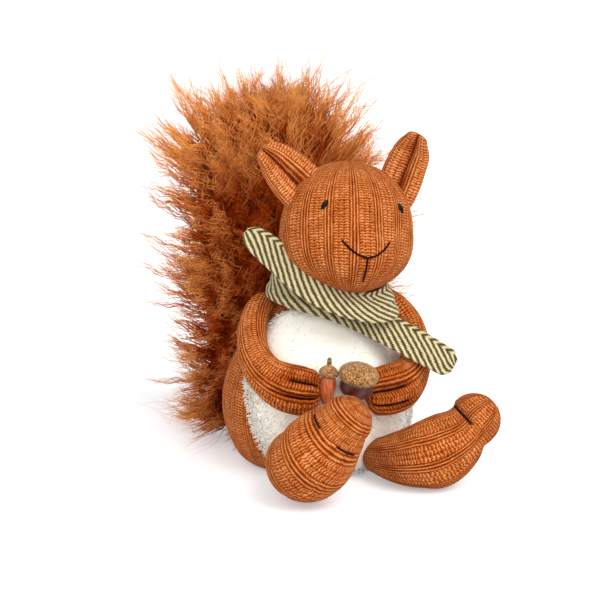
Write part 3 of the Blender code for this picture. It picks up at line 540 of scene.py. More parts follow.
def new_material(name, roughness, sheen=0.0, sheen_tint=(255, 255, 255), specular=0.5):
    material = bpy.data.materials.new(name)
    material.use_nodes = True
    tree = material.node_tree
    shader = tree.nodes["Principled BSDF"]
    for label, value in (("Roughness", roughness), ("Sheen Weight", sheen), ("Sheen Roughness", 0.45),
                         ("Sheen Tint", srgb(*sheen_tint)), ("Specular IOR Level", specular)):
        shader.inputs[label].default_value = value
    return material, tree


def colour(value, stops, smooth=True):
    """Colours the material from a number, through (place, colour) stops."""
    tree = value.tree
    node = tree.nodes.new("ShaderNodeValToRGB")
    node.color_ramp.interpolation = "EASE" if smooth else "LINEAR"
    marks = node.color_ramp.elements
    while len(marks) < len(stops):
        marks.new(0.5)
    for mark, (place, tint) in zip(marks, stops):
        mark.position = place
        mark.color = srgb(*tint)
    feed(tree, node.inputs[0], value)
    tree.links.new(node.outputs[0], tree.nodes["Principled BSDF"].inputs["Base Color"])


def bump(height, distance, strength):
    """Raises the material's surface by a height, in millimetres."""
    tree = height.tree
    node = tree.nodes.new("ShaderNodeBump")
    node.inputs["Strength"].default_value = strength
    node.inputs["Distance"].default_value = distance * MM
    feed(tree, node.inputs["Height"], height)
    tree.links.new(node.outputs[0], tree.nodes["Principled BSDF"].inputs["Normal"])


def knit_material():
    """Chenille knit: pale fuzzy bars and ribs over grooves darkened by painted shade, streaked along the
    yarn.
    """
    material, tree = new_material("chenille_knit", 0.95, 0.15, (255, 180, 120), 0.08)
    layer, u, v = fabric_place(tree)
    drift = noise(tree, 0.40, 3.0, layer) * 2.8 - 1.4
    place = (u + drift * 0.35).math("FLOORED_MODULO", KNIT_REPEAT)
    edge = ((place / BAR_COLUMN).math("FRACT") * 2.0 - 1.0).math("ABSOLUTE")
    lean = edge * BAR_SLANT + v + drift
    bars = edge.math("POWER", 5.0) * -0.30 + (lean.wave(BAR_PITCH) * 0.52 + 0.34)
    rib = (place - BARS_WIDTH).wave(RIB_PITCH, -math.pi / 2)
    ribs = lean.wave(BAR_PITCH * 0.7) * 0.14 + (rib * 0.66 + 0.08)
    relief = blend(place.math("GREATER_THAN", BARS_WIDTH), bars, ribs)
    fluff = noise(tree, 1.4, 4.0, layer, 0.7)
    streak = noise(tree, 1.0, 3.0, stretched(u, v, 0.55, 0.06), 0.6)
    cloud = noise(tree, 0.09, 3.0, layer, 0.6)
    fibre = noise(tree, 3.4, 3.0, stretched(u, v, 1.0, 0.45), 0.7)
    height = fluff * 0.9 + relief * 0.80
    # Through the relief, the colour is darker in the grooves and at the edges of the bar columns: painted
    # shade, on top of the bump.
    shade = height + KNIT_SHADE + streak * 0.55 + cloud * 0.45 + fibre * 0.45
    # The stored "deep" number is painted shade from the ears and hands, painted light where it is below zero.
    colour(shade - stored(tree, "deep") * 0.5, [
        (0.10, (84, 27, 6)), (0.34, (146, 61, 8)), (0.56, (182, 89, 22)), (0.95, (244, 170, 112)),
    ], smooth=False)
    bump(height, 0.8, 0.9)
    return material


def fur_material():
    """Wavy fur, dark at the root and pale at the tip: partly the fur's own colour, partly painted shade among
    the roots and painted light at the tips. Each strand a little different.
    """
    material, tree = new_material("wavy_fur", 0.7, 0.0, (255, 170, 100), 0.06)
    streak = noise(tree, 900.0, 1.0, object_place(tree)) * 0.16 - 0.08
    place = (stored(tree, "along") + streak).math("ADD", stored(tree, "tone_and_painted_light"), clamp=True)
    colour(place, [(0.0, (92, 14, 0)), (0.5, (190, 74, 4)), (1.0, (255, 176, 96))], smooth=False)
    return material


def pile_material():
    """Cream plush pile."""
    material, tree = new_material("cream_plush", 0.9, 0.3, (255, 250, 240), 0.2)
    tuft = noise(tree, 420.0, 3.0, object_place(tree), 0.6)
    cloud = noise(tree, 28.0, 2.0, object_place(tree))
    colour(cloud * 0.5 + tuft * 0.5, [
        (0.25, (246, 240, 224)), (0.55, (252, 249, 238)), (0.8, (255, 253, 246))])
    bump(tuft, 0.5, 0.35)
    return material


def scarf_material():
    """Herringbone: jagged dark stripes that turn back at each column of the weave."""
    material, tree = new_material("herringbone_wool", 0.95, 0.2, (255, 250, 220), 0.15)
    layer, u, v = fabric_place(tree)
    zigzag = (u + SCARF_COLUMN_START).math("PINGPONG", SCARF_COLUMN)
    yarn = (u / SCARF_YARN).math("FRACT") * 0.9
    slanted = v + zigzag * SCARF_SLOPE + yarn
    stripe = (noise(tree, 0.3, 2.0, layer) * 2.4 + slanted).wave(SCARF_STRIPE)
    fuzz = noise(tree, 1.6, 3.0, layer, 0.7)
    colour(fuzz * 0.9 + (stripe * 0.72 - 0.28), [
        (0.18, (70, 56, 26)), (0.40, (108, 92, 52)), (0.60, (180, 165, 120)), (0.95, (224, 213, 176)),
    ], smooth=False)
    weave = u.wave(SCARF_YARN) * v.wave(1.3)
    bump(weave * 0.3 + (fuzz * 0.6 + stripe), 0.55, 0.9)
    return material


def cap_material():
    """Looped brown wool of the acorn caps, darker between the loops by painted shade."""
    material, tree = new_material("looped_wool", 0.95, 0.3, (255, 230, 200), 0.15)
    loops = tree.nodes.new("ShaderNodeTexVoronoi")
    loops.inputs["Scale"].default_value = 900.0
    tree.links.new(object_place(tree), loops.inputs["Vector"])
    crown = Value(tree, loops.outputs["Distance"]) * -1.0 + 1.0
    fleck = noise(tree, 500.0, 2.0, object_place(tree))
    colour(fleck * 0.7 + (crown * 0.8 - 0.5), [
        (0.05, (128, 82, 40)), (0.45, (200, 150, 96)), (0.85, (238, 202, 150))])
    bump(crown, 0.8, 1.0)
    return material


def nut_material(name, low, high, roughness):
    """Satin of an acorn's nut, with long pulls in it."""
    material, tree = new_material(name, roughness, 0.1)
    layer, u, _ = fabric_place(tree)
    pulls = noise(tree, 0.8, 3.0, layer)
    colour(pulls, [(0.3, low), (0.7, high)])
    bump(u.wave(0.5) * 0.2 + pulls, 0.25, 0.5)
    return material


def thread_material():
    """Dark embroidery thread with its twist, darker between the turns by painted shade."""
    material, tree = new_material("embroidery_thread", 0.9, 0.0, (120, 80, 60), 0.05)
    _, u, v = fabric_place(tree)
    twist = (u + v).wave(0.9)
    colour(twist, [(0.1, (14, 5, 3)), (0.9, (46, 18, 9))])
    bump(twist, 0.2, 0.8)
    return material


def eye_material():
    """Glossy black of the eyes, finely scuffed."""
    material, tree = new_material("eye_gloss", 0.2, specular=0.12)
    scuff = noise(tree, 1500.0, 3.0, object_place(tree))
    colour(scuff, [(0.3, (8, 5, 5)), (0.8, (22, 13, 11))])
    bump(scuff, 0.03, 0.3)
    return material


# Body

def profile_radius(share):
    """Smoothed radius of the body at a share of its height."""
    smooth = smooth_course(BODY_PROFILE, 400)
    return BODY_RADIUS * np.interp(share, np.maximum.accumulate(smooth[:, 0]), smooth[:, 1])


def body_points(angle, share, out=0.0):
    """Points over the body from angles in degrees and shares of the height."""
    turn = np.radians(angle)
    step = 0.02
    low, high = np.maximum(share - step, 0.0), np.minimum(share + step, 1.0)
    slope = (profile_radius(high) - profile_radius(low)) / (2 * step * BODY_HEIGHT)
    flat = 1 / np.hypot(1.0, slope)
    radius = profile_radius(share)
    x = (radius + out * flat) * np.sin(turn)
    y = -(radius * BODY_DEPTH_SHARE + out * flat) * np.cos(turn)
    return np.stack([x, y, share * BODY_HEIGHT - out * slope * flat], axis=-1)


def body_normals(angle, share):
    return units(body_points(angle, share, MM) - body_points(angle, share))


def patch_half_angle(share):
    return np.interp(share, *np.transpose(PATCH_EDGE))


def inside_body(points):
    share = points[..., 2] / BODY_HEIGHT
    radius = profile_radius(np.clip(share, 0, 1)) + CLEAR
    level = (share > -0.1) & (points[..., 2] < BODY_HEIGHT + CLEAR)
    return level & (np.hypot(points[..., 0], points[..., 1] / BODY_DEPTH_SHARE) < radius)


def make_body():
    rows, columns = 110, 300
    course = smooth_course(BODY_PROFILE, 600)
    length = run_length(course * [BODY_HEIGHT, BODY_RADIUS])
    place = np.linspace(0, length[-1] * BODY_CLOSED, rows)
    share = np.interp(place, length, course[:, 0])[:, None]
    radius = np.interp(place, length, course[:, 1])[:, None] * BODY_RADIUS
    turn = turns(columns, 360)
    x, y = radius * np.sin(np.radians(turn)), -radius * BODY_DEPTH_SHARE * np.cos(np.radians(turn))
    grid = np.stack(np.broadcast_arrays(x, y, share * BODY_HEIGHT), axis=-1)
    around = KNIT_REPEAT * BODY_REPEATS
    uv = layout(turn / 360 * around, place / MM)
    return knitted("knit_body", grid, uv, [(0, 0, 0.2 * MM), (0, 0, BODY_HEIGHT)], (around, None))


def make_cushion():
    """The cream panel: a raised cushion, rounded at its rim."""
    rows, columns = 90, 130
    share = np.linspace(PATCH_LOW, PATCH_HIGH, rows)[:, None]
    place = np.linspace(-1, 1, columns)[None, :]
    angle, share = np.broadcast_arrays(patch_half_angle(share) * place, share)
    up = 2 * (share - PATCH_LOW) / (PATCH_HIGH - PATCH_LOW) - 1
    edge = np.minimum(1 - np.abs(place), 2.2 * (1 - np.abs(up)))
    rise = np.clip(edge / 0.14, 0, 1) ** 0.5
    out = GAP + (0.3 + 2.4 * rise) * MM
    out = out + rise * 0.12 * MM * rng.normal(0, 1, out.shape)
    outer = body_points(angle, share, out)
    inner = body_points(angle, share, GAP - 0.8 * MM)
    verts = np.vstack([outer.reshape(-1, 3), inner.reshape(-1, 3)])
    count = rows * columns
    front = grid_faces(rows, columns, closed=False)
    index = np.arange(count).reshape(rows, columns)
    rim = np.concatenate([index[0], index[1:, -1], index[-1, -2::-1], index[-2:0:-1, 0]])
    after = np.roll(rim, -1)
    walls = np.stack([after, rim, count + rim, count + after], axis=-1)
    quads = np.vstack([front, front[:, ::-1] + count, walls])
    if volume(verts, quads, np.zeros((0, 3), int)) < 0:
        quads = quads[:, ::-1]
    return add_mesh("belly_base", verts, [quads])


def make_pile():
    """Thousands of short, curled tufts on the cream panel, most of them near its rim."""
    tries = TUFTS * 6
    share = rng.uniform(PATCH_LOW, PATCH_HIGH, tries)
    wide = profile_radius(share) * patch_half_angle(share)
    spread = rng.uniform(-1, 1, tries)
    from_end = np.minimum(share - PATCH_LOW, PATCH_HIGH - share) / (PATCH_HIGH - PATCH_LOW)
    near_side = np.clip((np.abs(spread) - 0.70) / 0.2, 0, 1)
    near_rim = np.maximum(near_side, np.clip((0.08 - from_end) / 0.05, 0, 1))
    kept = rng.uniform(0, wide.max(), tries) < wide * (0.12 + 0.88 * near_rim)
    share, spread = share[kept][:TUFTS], spread[kept][:TUFTS]
    angle = spread * patch_half_angle(share) * 1.01
    roots = body_points(angle, share, GAP + 2.0 * MM)
    normals = body_normals(angle, share)
    length = rng.uniform(2.0, 3.2, len(roots)) * MM
    rim_way = np.clip((np.abs(spread) - 0.9) / 0.1, 0, 1)[:, None]
    sideways = units(np.cross(np.array([0, 0, 1.0]), normals)) * np.sign(spread)[:, None]
    way = 0.55 * normals + rng.normal(0, 0.28, roots.shape) + [0, 0, -0.5] + sideways * rim_way * 0.8
    steps = np.linspace(0, 1, 3)[None, :, None]
    curl = rng.normal(0, 0.35, roots.shape)[:, None, :] * steps ** 2
    paths = roots[:, None, :] + (units(way)[:, None, :] * steps + curl * 0.8) * length[:, None, None]
    paths[..., 2] = np.maximum(paths[..., 2], FLOOR_CLEAR)
    radii = TUFT_RADIUS * np.array([1.0, 0.8, 0.0])[None, :] * rng.uniform(0.7, 1.2, (len(roots), 1))
    return strands("belly_pile", paths, radii)


# Head

def head_axes():
    """The head's directions to its side, ahead and up."""
    roll, pitch, yaw = (math.radians(a) for a in (HEAD_ROLL, HEAD_PITCH, HEAD_YAW))
    level_side = np.array([math.cos(roll), 0.0, -math.sin(roll)])
    level_up = np.array([math.sin(roll), 0.0, math.cos(roll)])
    ahead = np.array([0.0, -1.0, 0.0])
    nodding = math.cos(pitch) * ahead - math.sin(pitch) * level_up
    up = math.cos(pitch) * level_up + math.sin(pitch) * ahead
    forward = math.cos(yaw) * nodding - math.sin(yaw) * level_side
    side = math.cos(yaw) * level_side + math.sin(yaw) * nodding
    return np.stack([side, forward, up])


def head_reach(ways):
    """How far the head's skin lies from its middle, for an array of directions."""
    reaches = []
    for radii, centre in HEAD_FORMS:
        radii, centre = np.array(radii) * MM, np.array(centre) * MM
        way, start = ways / radii, -centre / radii
        a = np.einsum("...i,...i->...", way, way)
        b = way @ start
        inside = b * b - a * (start @ start - 1)
        reaches.append(np.where(inside < 0, 0.0, (-b + np.sqrt(np.maximum(inside, 0))) / a))
    reaches = np.maximum(np.stack(reaches), 0)
    longest = reaches.max(axis=0)
    return longest * ((reaches / longest) ** HEAD_BLEND).sum(axis=0) ** (1 / HEAD_BLEND)


def head_place(local):
    return HEAD_CENTRE + np.asarray(local) @ head_axes()


def head_point(sideways, up, out=0.0):
    turn, lift = math.radians(sideways), math.radians(up)
    level = math.cos(lift)
    way = np.array([math.sin(turn) * level, math.cos(turn) * level, math.sin(lift)])
    return head_place(way * (head_reach(way) + out))


def inside_head(points):
    local = (points - HEAD_CENTRE) @ head_axes().T
    distance = np.linalg.norm(local, axis=-1)
    return distance < head_reach(local / np.maximum(distance, MM)[..., None]) + CLEAR


def make_head():
    rows, columns = 150, 312
    back = math.radians(HEAD_POLE_BACK)
    pole = np.array([0.0, -math.sin(back), math.cos(back)])
    across = np.array([1.0, 0.0, 0.0])
    face = np.cross(pole, across)
    down = np.linspace(0.012, math.pi - 0.012, rows)[::-1][:, None, None]
    turn = turns(columns)[None, :, None]
    ways = np.cos(down) * pole + np.sin(down) * (np.cos(turn) * across + np.sin(turn) * face)
    grid = head_place(ways * head_reach(ways)[..., None])
    around = KNIT_REPEAT * HEAD_REPEATS
    front = (0.25 * HEAD_REPEATS) % 1.0
    shift = BARS_WIDTH / 2 - front * KNIT_REPEAT
    u = turns(columns) / TAU * around + shift + KNIT_REPEAT
    uv = layout(u, (math.pi - down.ravel()) * HEAD_MEAN_RADIUS / MM)
    tips = [head_place(way * head_reach(way)) for way in (-pole, pole)]
    return knitted("knit_head", grid, uv, tips, (around, None))


def make_eye(name, side):
    """A glossy almond, standing a little out of the face."""
    rows, columns = 24, 32
    side_way, _, up = head_axes()
    middle = head_point(side * EYE_BEARING[0], EYE_BEARING[1])
    out = units(middle - HEAD_CENTRE)
    slant = math.radians(EYE_SLANT) * side
    tall = units(up * math.cos(slant) - side_way * math.sin(slant))
    tall = units(tall - out * (tall @ out))
    wide = np.cross(tall, out)
    lift = np.pi * (np.arange(1, rows) / rows - 0.5)[:, None, None]
    turn = turns(columns)[None, :, None]
    bulge = wide * np.cos(turn) * EYE_WIDTH / 2 + out * np.sin(turn) * EYE_STAND * 2
    half = tall * EYE_HEIGHT / 2
    grid = middle - bulge * np.cos(lift) ** 1.3 + half * np.sin(lift)
    return tube(name, grid, np.zeros(grid.shape[:2] + (2,)), [middle - half, middle + half])


def make_thread(name, points, radius):
    """A sewn thread along a course, sunk at both ends."""
    knots, sides = 60, 8
    points = smooth_course(points, knots)
    first, second = cross_ways(tangents(points))
    turn = turns(sides)[None, :, None]
    taper = radius * np.clip(np.sin(np.linspace(0, math.pi, knots)) * 6, 0.15, 1)[:, None, None]
    grid = points[:, None] + taper * (np.cos(turn) * first[:, None] + np.sin(turn) * second[:, None])
    uv = layout(turns(sides, THREAD_ROUND), run_length(points) / MM)
    return tube(name, grid[1:-1], uv[1:-1], [points[0], points[-1]], (THREAD_ROUND, None))


def make_mouth():
    out = THREAD_RADIUS * 0.3
    places = np.linspace(-1, 1, 15)
    ups = MOUTH_MIDDLE_UP + (MOUTH_CORNER_UP - MOUTH_MIDDLE_UP) * np.abs(places) ** 1.7
    smile = [head_point(MOUTH_HALF_WIDTH * place, up, out) for place, up in zip(places, ups)]
    heights = MOUTH_MIDDLE_UP + 1.0 + (MOUTH_LINE_END - MOUTH_MIDDLE_UP) * np.linspace(0, 1, 7)
    line = [head_point(0.0, up, out) for up in heights]
    return [make_thread("mouth_smile", smile, THREAD_RADIUS), make_thread("mouth_line", line, THREAD_RADIUS)]


def make_ear(side):
    """A folded leaf with a soft rim and a deep crease."""
    rows, columns = 60, 96
    course, front = EARS[side]
    stations = smooth_course(course, rows)
    spine = head_place(stations[:, :3] * MM)
    along = tangents(spine, 2)
    wide = units(np.cross(along, np.array(front) @ head_axes()))
    out = units(np.cross(wide, along))
    share = stations[:, 3][:, None]
    turn = turns(columns)[None, :]
    x, y = np.cos(turn), np.sin(turn)
    thick = EAR_THICKNESS / 2 * np.minimum(1.0, share * 1.2)
    fold = np.exp(-np.abs(x / EAR_FOLD_SPREAD) ** 1.6) * (y > 0)
    crease = EAR_FOLD_DEPTH * share * fold
    grid = swept(spine, wide, out, EAR_WIDTH / 2 * share * x, thick * y - crease)
    around = KNIT_REPEAT * EAR_REPEATS
    grid, uv, tips = with_round_end(grid, spine, along, thick.ravel(), around)
    piece = knitted("knit_ear_" + side, grid, uv, tips, (around, None), KNIT_RELIEF * 0.8)
    # The crease gets painted shade and the whole ear painted light, through the knit's stored number.
    return with_painted_shade(piece, grid, np.broadcast_to(EAR_SHADE * fold ** 3 - EAR_PAINTED_LIGHT, (rows, columns)))


def with_round_end(grid, spine, along, thick, around):
    """Adds smaller rings past the last one for a round end. Returns the grid, its layout and its tips."""
    last, reach = grid[-1] - spine[-1], along[-1] * thick[-1]
    bends = np.radians(np.linspace(10, 86, 12))
    ends = [spine[-1] + last * math.cos(bend) + reach * math.sin(bend) for bend in bends]
    grid = np.concatenate([grid, np.stack(ends)])
    uv = layout(turns(grid.shape[1], around), run_length(grid.mean(axis=1)) / MM)
    return grid, uv, [spine[0] - along[0] * 2 * MM, spine[-1] + reach]


def with_painted_shade(piece, grid, shade):
    """Stores painted shade for the knit over the grid's rows, painted light where it is below zero. Rows past
    the last keep its value.
    """
    deep = np.zeros(grid.shape[:2])
    deep[:len(shade)] = shade
    deep[len(shade):] = deep[len(shade) - 1]
    store(piece.data, "deep", np.append(deep.ravel(), [0, deep[-1].mean()]))
    return piece


# Arms and legs

def arm_frame(limb, count):
    """Middle line, outward directions, half widths and half thicknesses of an arm."""
    angle, share, out, width, thick = smooth_course(ARMS[limb], count).T
    return body_points(angle, share, out * MM), body_normals(angle, share), width * MM, thick * MM


def finger_dent(share):
    return FINGER_GROOVE * np.clip((share - FINGER_START) / FINGER_RUN_IN, 0, 1)


def make_arm(limb):
    """A stuffed arm with two grooves between the fingers of its hand."""
    rows, columns = 130, 100
    spine, outs, widths, thicks = arm_frame(limb, rows)
    along = tangents(spine, 3)
    wide = units(np.cross(along, outs))
    turn = turns(columns, 360)
    share = np.linspace(0, 1, rows)
    groove = sum(np.exp(-((turn - t) / 8.0) ** 2) for t in FINGER_TURNS[limb].values())
    dent = -finger_dent(share)[:, None] * groove[None, :]
    x = np.cos(np.radians(turn)) * (widths[:, None] + dent)
    y = np.sin(np.radians(turn)) * (thicks[:, None] + dent)
    grid = swept(spine, wide, np.cross(wide, along), x, y)
    around = KNIT_REPEAT * ARM_REPEATS
    grid, uv, tips = with_round_end(grid, spine, along, thicks, around)
    piece = knitted("knit_arm_" + limb, grid, uv, tips, (around, None))
    # Painted shade over the hand, deeper in the finger grooves, together with the hand's somewhat darker
    # yarn.
    hand = HAND_SHADE * smooth_step(share, 0.66, 0.80)
    return with_painted_shade(piece, grid, hand[:, None] * (0.55 + groove)[None, :])


def finger_points(limb, turn_degrees):
    """The course of the thread in a groove, going on over the round end of the hand."""
    fine = 60
    spine, outs, widths, thicks = arm_frame(limb, fine)
    along = tangents(spine)
    turn = math.radians(turn_degrees)
    points = []
    for share in np.linspace(FINGER_THREAD_START, FINGER_THREAD_END, 8):
        past = max(0.0, share - 1.0) / (FINGER_THREAD_END - 1.0)
        bend = math.radians(FINGER_THREAD_BEND * past)
        index = int(round(min(share, 1.0) * (fine - 1)))
        wide = units(np.cross(along[index], outs[index]))
        out = np.cross(wide, along[index])
        dent = finger_dent(share) * 0.8
        reach = wide * math.cos(turn) * (widths[index] - dent) + out * math.sin(turn) * (thicks[index] - dent)
        onward = along[index] * thicks[index] * math.sin(bend)
        points.append(spine[index] + reach * math.cos(bend) + onward + out * THREAD_RADIUS * 0.3)
    return points


def leg_frame(limb, count):
    """Middle line, its directions, two directions across it and the radii of a leg."""
    course, profile = LEGS[limb]
    spine = smooth_course(course, count) * MM
    along = tangents(spine, round(LEG_BEND_SHARE * (count - 1)))
    wide = units(np.cross(along, np.array([0.0, 0.0, 1.0])))
    radii = smooth_course([[share] for share in profile], count)[:, 0] * LEG_RADIUS
    return spine, along, wide, np.cross(wide, along), radii


def leg_dents(limb, rows, turn):
    """How deep the threads and the sole's seam pinch the leg, over its rows and turns in degrees."""
    share = np.linspace(0, 1, rows)[:, None]
    dent = 0.0 * share * turn[None, :]
    for place_of, place, first, last in TOE_THREADS.values():
        if place_of == limb:
            middle, half = (first + last) / 2, abs(first - last) / 2
            away = np.abs(np.mod(turn[None, :] - middle + 180, 360) - 180)
            beyond = np.clip(away - half, 0, None) / 12
            dent = dent + TOE_PINCH * np.exp(-beyond ** 2 - ((share - place) / 0.03) ** 2)
    below = np.clip(-np.sin(np.radians(turn[None, :] + 20)), 0, 1)
    dent = dent + TOE_WAIST[limb] * below * np.exp(-((share - 0.89) / 0.05) ** 2)
    seam_away = np.mod(turn[None, :] - SOLE_SEAMS[limb] + 180, 360) - 180
    return dent + SEAM_DEPTH * np.exp(-(seam_away / 3.0) ** 2) * smooth_step(share, 0.3, 0.5)


def make_leg(limb):
    """A stuffed leg, pinched behind the toes. Its ribs run along the left leg and round the right."""
    rows, columns = 110, 130
    spine, along, wide, out, radii = leg_frame(limb, rows)
    turn = turns(columns)
    reach = np.cos(turn)[None, :, None] * wide[:, None] + np.sin(turn)[None, :, None] * out[:, None]
    grid = spine[:, None] + reach * (radii[:, None] - leg_dents(limb, rows, np.degrees(turn)))[..., None]
    around = KNIT_REPEAT * LEG_REPEATS
    grid, uv, tips = with_round_end(grid, spine, along, radii, around)
    grid[..., 2] = np.maximum(grid[..., 2], LEG_LOWEST)
    if limb == "left":
        return knitted("knit_leg_left", grid, uv, tips, (around, None))
    return knitted("knit_leg_right", grid, uv[..., ::-1], tips, (None, around))


def toe_points(limb, share, first_turn, last_turn):
    """The course of a thread laid part of the way round a leg."""
    fine = 101
    spine, _, wide, out, radii = leg_frame(limb, fine)
    index = int(round(share * (fine - 1)))
    lift = radii[index] - TOE_PINCH * 0.7 + THREAD_RADIUS * 0.5
    return [spine[index] + lift * (wide[index] * math.cos(turn) + out[index] * math.sin(turn))
            for turn in np.radians(np.linspace(first_turn, last_turn, 8))]


# Scarf

def make_scarf():
    """The folded strip, with soft creases along it. Returns the piece and its flat size."""
    rows, columns = 300, 60
    course = smooth_course(SCARF_COURSE, rows)
    spine = course[:, :3] * MM + np.array([0.0, 0.0, BODY_HEIGHT])
    outs, widths = course[:, 3:6], course[:, 6] * SCARF_WIDTH
    along = tangents(spine, 2)
    wide = units(np.cross(along, outs))
    turn = turns(columns)[None, :]
    x = np.sign(np.cos(turn)) * np.abs(np.cos(turn)) ** 0.55
    y = np.sign(np.sin(turn)) * np.abs(np.sin(turn)) ** 0.7
    length = run_length(spine)
    place = length[:, None] / length[-1]
    from_end = np.minimum(length, length[-1] - length)
    rounded = np.sqrt(np.clip(1 - (1 - from_end / SCARF_CORNER) ** 2 * (from_end < SCARF_CORNER), 0.25, 1))
    creases = 0.9 * np.sin(TAU * (x * 0.9 + 1.2 * place)) + 0.5 * np.sin(TAU * (x * 1.7 - 2.3 * place))
    lift = y * SCARF_THICKNESS / 2 * 0.85 + creases * 0.45 * MM
    grid = swept(spine, wide, np.cross(wide, along), (widths * rounded)[:, None] / 2 * x, lift)
    uv = layout((x + 1) * widths[:, None] / 2 / MM + 3.0, length / MM)
    piece = tube("scarf_strip", grid, uv, [grid[0].mean(axis=0), grid[-1].mean(axis=0)])
    return piece, (float(widths.mean()), float(length[-1]))


# Acorns

def turned(name, base, axis, profile, relief):
    """A form turned about an axis from (distance along, radius) pairs, with an uneven skin."""
    axis = units(axis)
    first = units(np.cross(axis, (0.0, 1.0, 0.2)))
    second = np.cross(axis, first)
    rows, columns = 44, 54
    fine = smooth_course(profile, rows)
    turn = turns(columns)[None, :, None]
    reach = np.cos(turn) * first + np.sin(turn) * second
    radius = np.maximum(fine[:, 1], 0.05 * MM)[:, None, None]
    uneven = relief * rng.uniform(-1, 1, (rows, columns, 1))
    middles = base + axis * fine[:, 0][:, None, None]
    grid = middles + reach * (radius + uneven * np.minimum(1, radius / (2 * MM)))
    around = TAU * profile[len(profile) // 2][1] / MM
    uv = layout(turns(columns, around), fine[:, 0] / MM * 0.2)
    return tube(name, grid, uv, [middles[0, 0], middles[-1, 0]], (around, None))


def nut_profile(acorn):
    radius, length = acorn["nut"]
    return [(a * length, r * radius) for a, r in NUT_PROFILE]


def cap_profile(acorn):
    """The cap sits over the end of the nut, with a stem or a closed crown."""
    (radius, height), start, stem = acorn["cap"], acorn["nut"][1], acorn["stem"]
    rim, top = start + GAP, start + height
    profile = [(rim, AXIS_POINT)] + [(rim + a * (top - rim), r * radius) for a, r in CAP_PROFILE]
    if stem:
        return profile + [(top + a * stem, r * stem) for a, r in STEM_PROFILE]
    return profile + [(top * 0.995, radius * 0.25), (top, AXIS_POINT)]


def make_acorns():
    """Both nuts, then both caps, by the name of the node that each stands for."""
    made = {}
    for part, finish, profile in (("nut", "satin", nut_profile), ("cap", "loops", cap_profile)):
        for size, acorn in ACORNS.items():
            angle, share = (np.array(float(value)) for value in acorn["place"])
            base = body_points(angle, share, PATCH_PILE + acorn["nut"][0] + acorn["stand_off"])
            relief = acorn["loops"] if part == "cap" else 0.0
            name = size + "_" + part + "_" + finish
            made["acorn_" + size + "_" + part] = turned(name, base, acorn["axis"], profile(acorn), relief)
    return made


# Tail

def tail_surface(place, turn, shrink=1.0):
    """Points of the tail's core from a place along it, 0 to 1, and a turn round it."""
    knots = smooth_course(TAIL_CORE, 200)
    y, z, half, deep, x = (np.interp(place, np.linspace(0, 1, 200), knots[:, c]) * MM for c in range(5))
    return np.stack([x + half * shrink * np.cos(turn), y + deep * shrink * np.sin(turn), z], axis=-1)


def make_tail_core():
    rows, columns = 60, 76
    place, turn = np.linspace(0, 1, rows)[:, None], turns(columns)[None, :]
    grid = tail_surface(*np.broadcast_arrays(place, turn))
    rough = 1.2 * np.sin(9 * turn + 40 * place) * np.sin(31 * place + 4 * turn)
    grid = grid + units(grid - grid.mean(axis=1, keepdims=True)) * (rough * MM)[..., None]
    ends = [grid[0].mean(axis=0) + [0, 0, 0.5 * MM], grid[-1].mean(axis=0) + [0, 0, 3 * MM]]
    piece = tube("tail_backing", grid, np.zeros(grid.shape[:2] + (2,)), ends)
    # The core takes the colour of the fur's roots: painted shade deep inside the fur.
    for label, value in (("along", 0.16), ("tone_and_painted_light", 0.0)):
        store(piece.data, label, np.full(len(piece.data.vertices), value))
    return piece


def lock_roots(count):
    """Roots of the locks over the tail, with the way the surface faces."""
    tries = count * 3
    place = rng.uniform(0, 1.06, tries)
    turn = rng.uniform(0, TAU, tries)
    side, top = np.minimum(place, 1.0), place > 1
    shrink = np.where(top, np.sqrt(rng.uniform(0, 1, tries)), 1.0)
    root = tail_surface(side, turn, shrink)
    step = 0.01
    along = tail_surface(np.minimum(side + step, 1), turn) - tail_surface(np.maximum(side - step, 0), turn)
    around = tail_surface(side, turn + step) - tail_surface(side, turn - step)
    normal = units(np.cross(around, along))
    normal[top] = units(np.array([0, 0, 1.0]) + 0.8 * (shrink[:, None] * normal)[top])
    weight = np.linalg.norm(np.cross(around, along), axis=1)
    weight = np.where(top, weight.max() * 0.8, weight)
    near_foot = (place < 0.13) & (root[:, 0] < 0)
    back_foot = (place < 0.25) & (root[:, 0] > -20 * MM) & (normal[:, 1] > 0)
    weight = weight * np.where(near_foot, 3.0, 1.0) * np.where(back_foot, 1.3, 1.0)
    kept = rng.uniform(0, 1.3 * np.median(weight), tries) < weight
    return root[kept][:count], normal[kept][:count]


def lock_ways(root, normal, height, low):
    """The way each lock starts out and the way its tip lies: up the tail, and forward low down."""
    rise = 0.10 + 1.1 * np.maximum(0, height - 0.45) - 0.6 * np.maximum(0, 0.25 - height)
    upright = np.maximum(smooth_step(height, 0.08, 0.30), 1.0 * (normal[:, 1] > 0)) * (height < 0.97)
    rise = rise + 0.65 * (1 - np.abs(normal[:, 0])) * upright
    fan = np.clip(height - 0.70, 0, None) * 2.2
    flow = np.stack([fan * root[:, 0] / (40 * MM), -1.9 * low, rise], axis=-1)
    way = units(normal + flow + rng.normal(0, 0.16, normal.shape))
    across = root[:, 0] / TAIL_HALF_WIDTH * 0.9 - 0.5 * low
    lay = np.stack([across, 0.25 * normal[:, 1] - 0.8 * low, rise * 1.2 + 0.05], axis=-1)
    return way, units(lay + 0.35 * normal + rng.normal(0, 0.30, normal.shape))


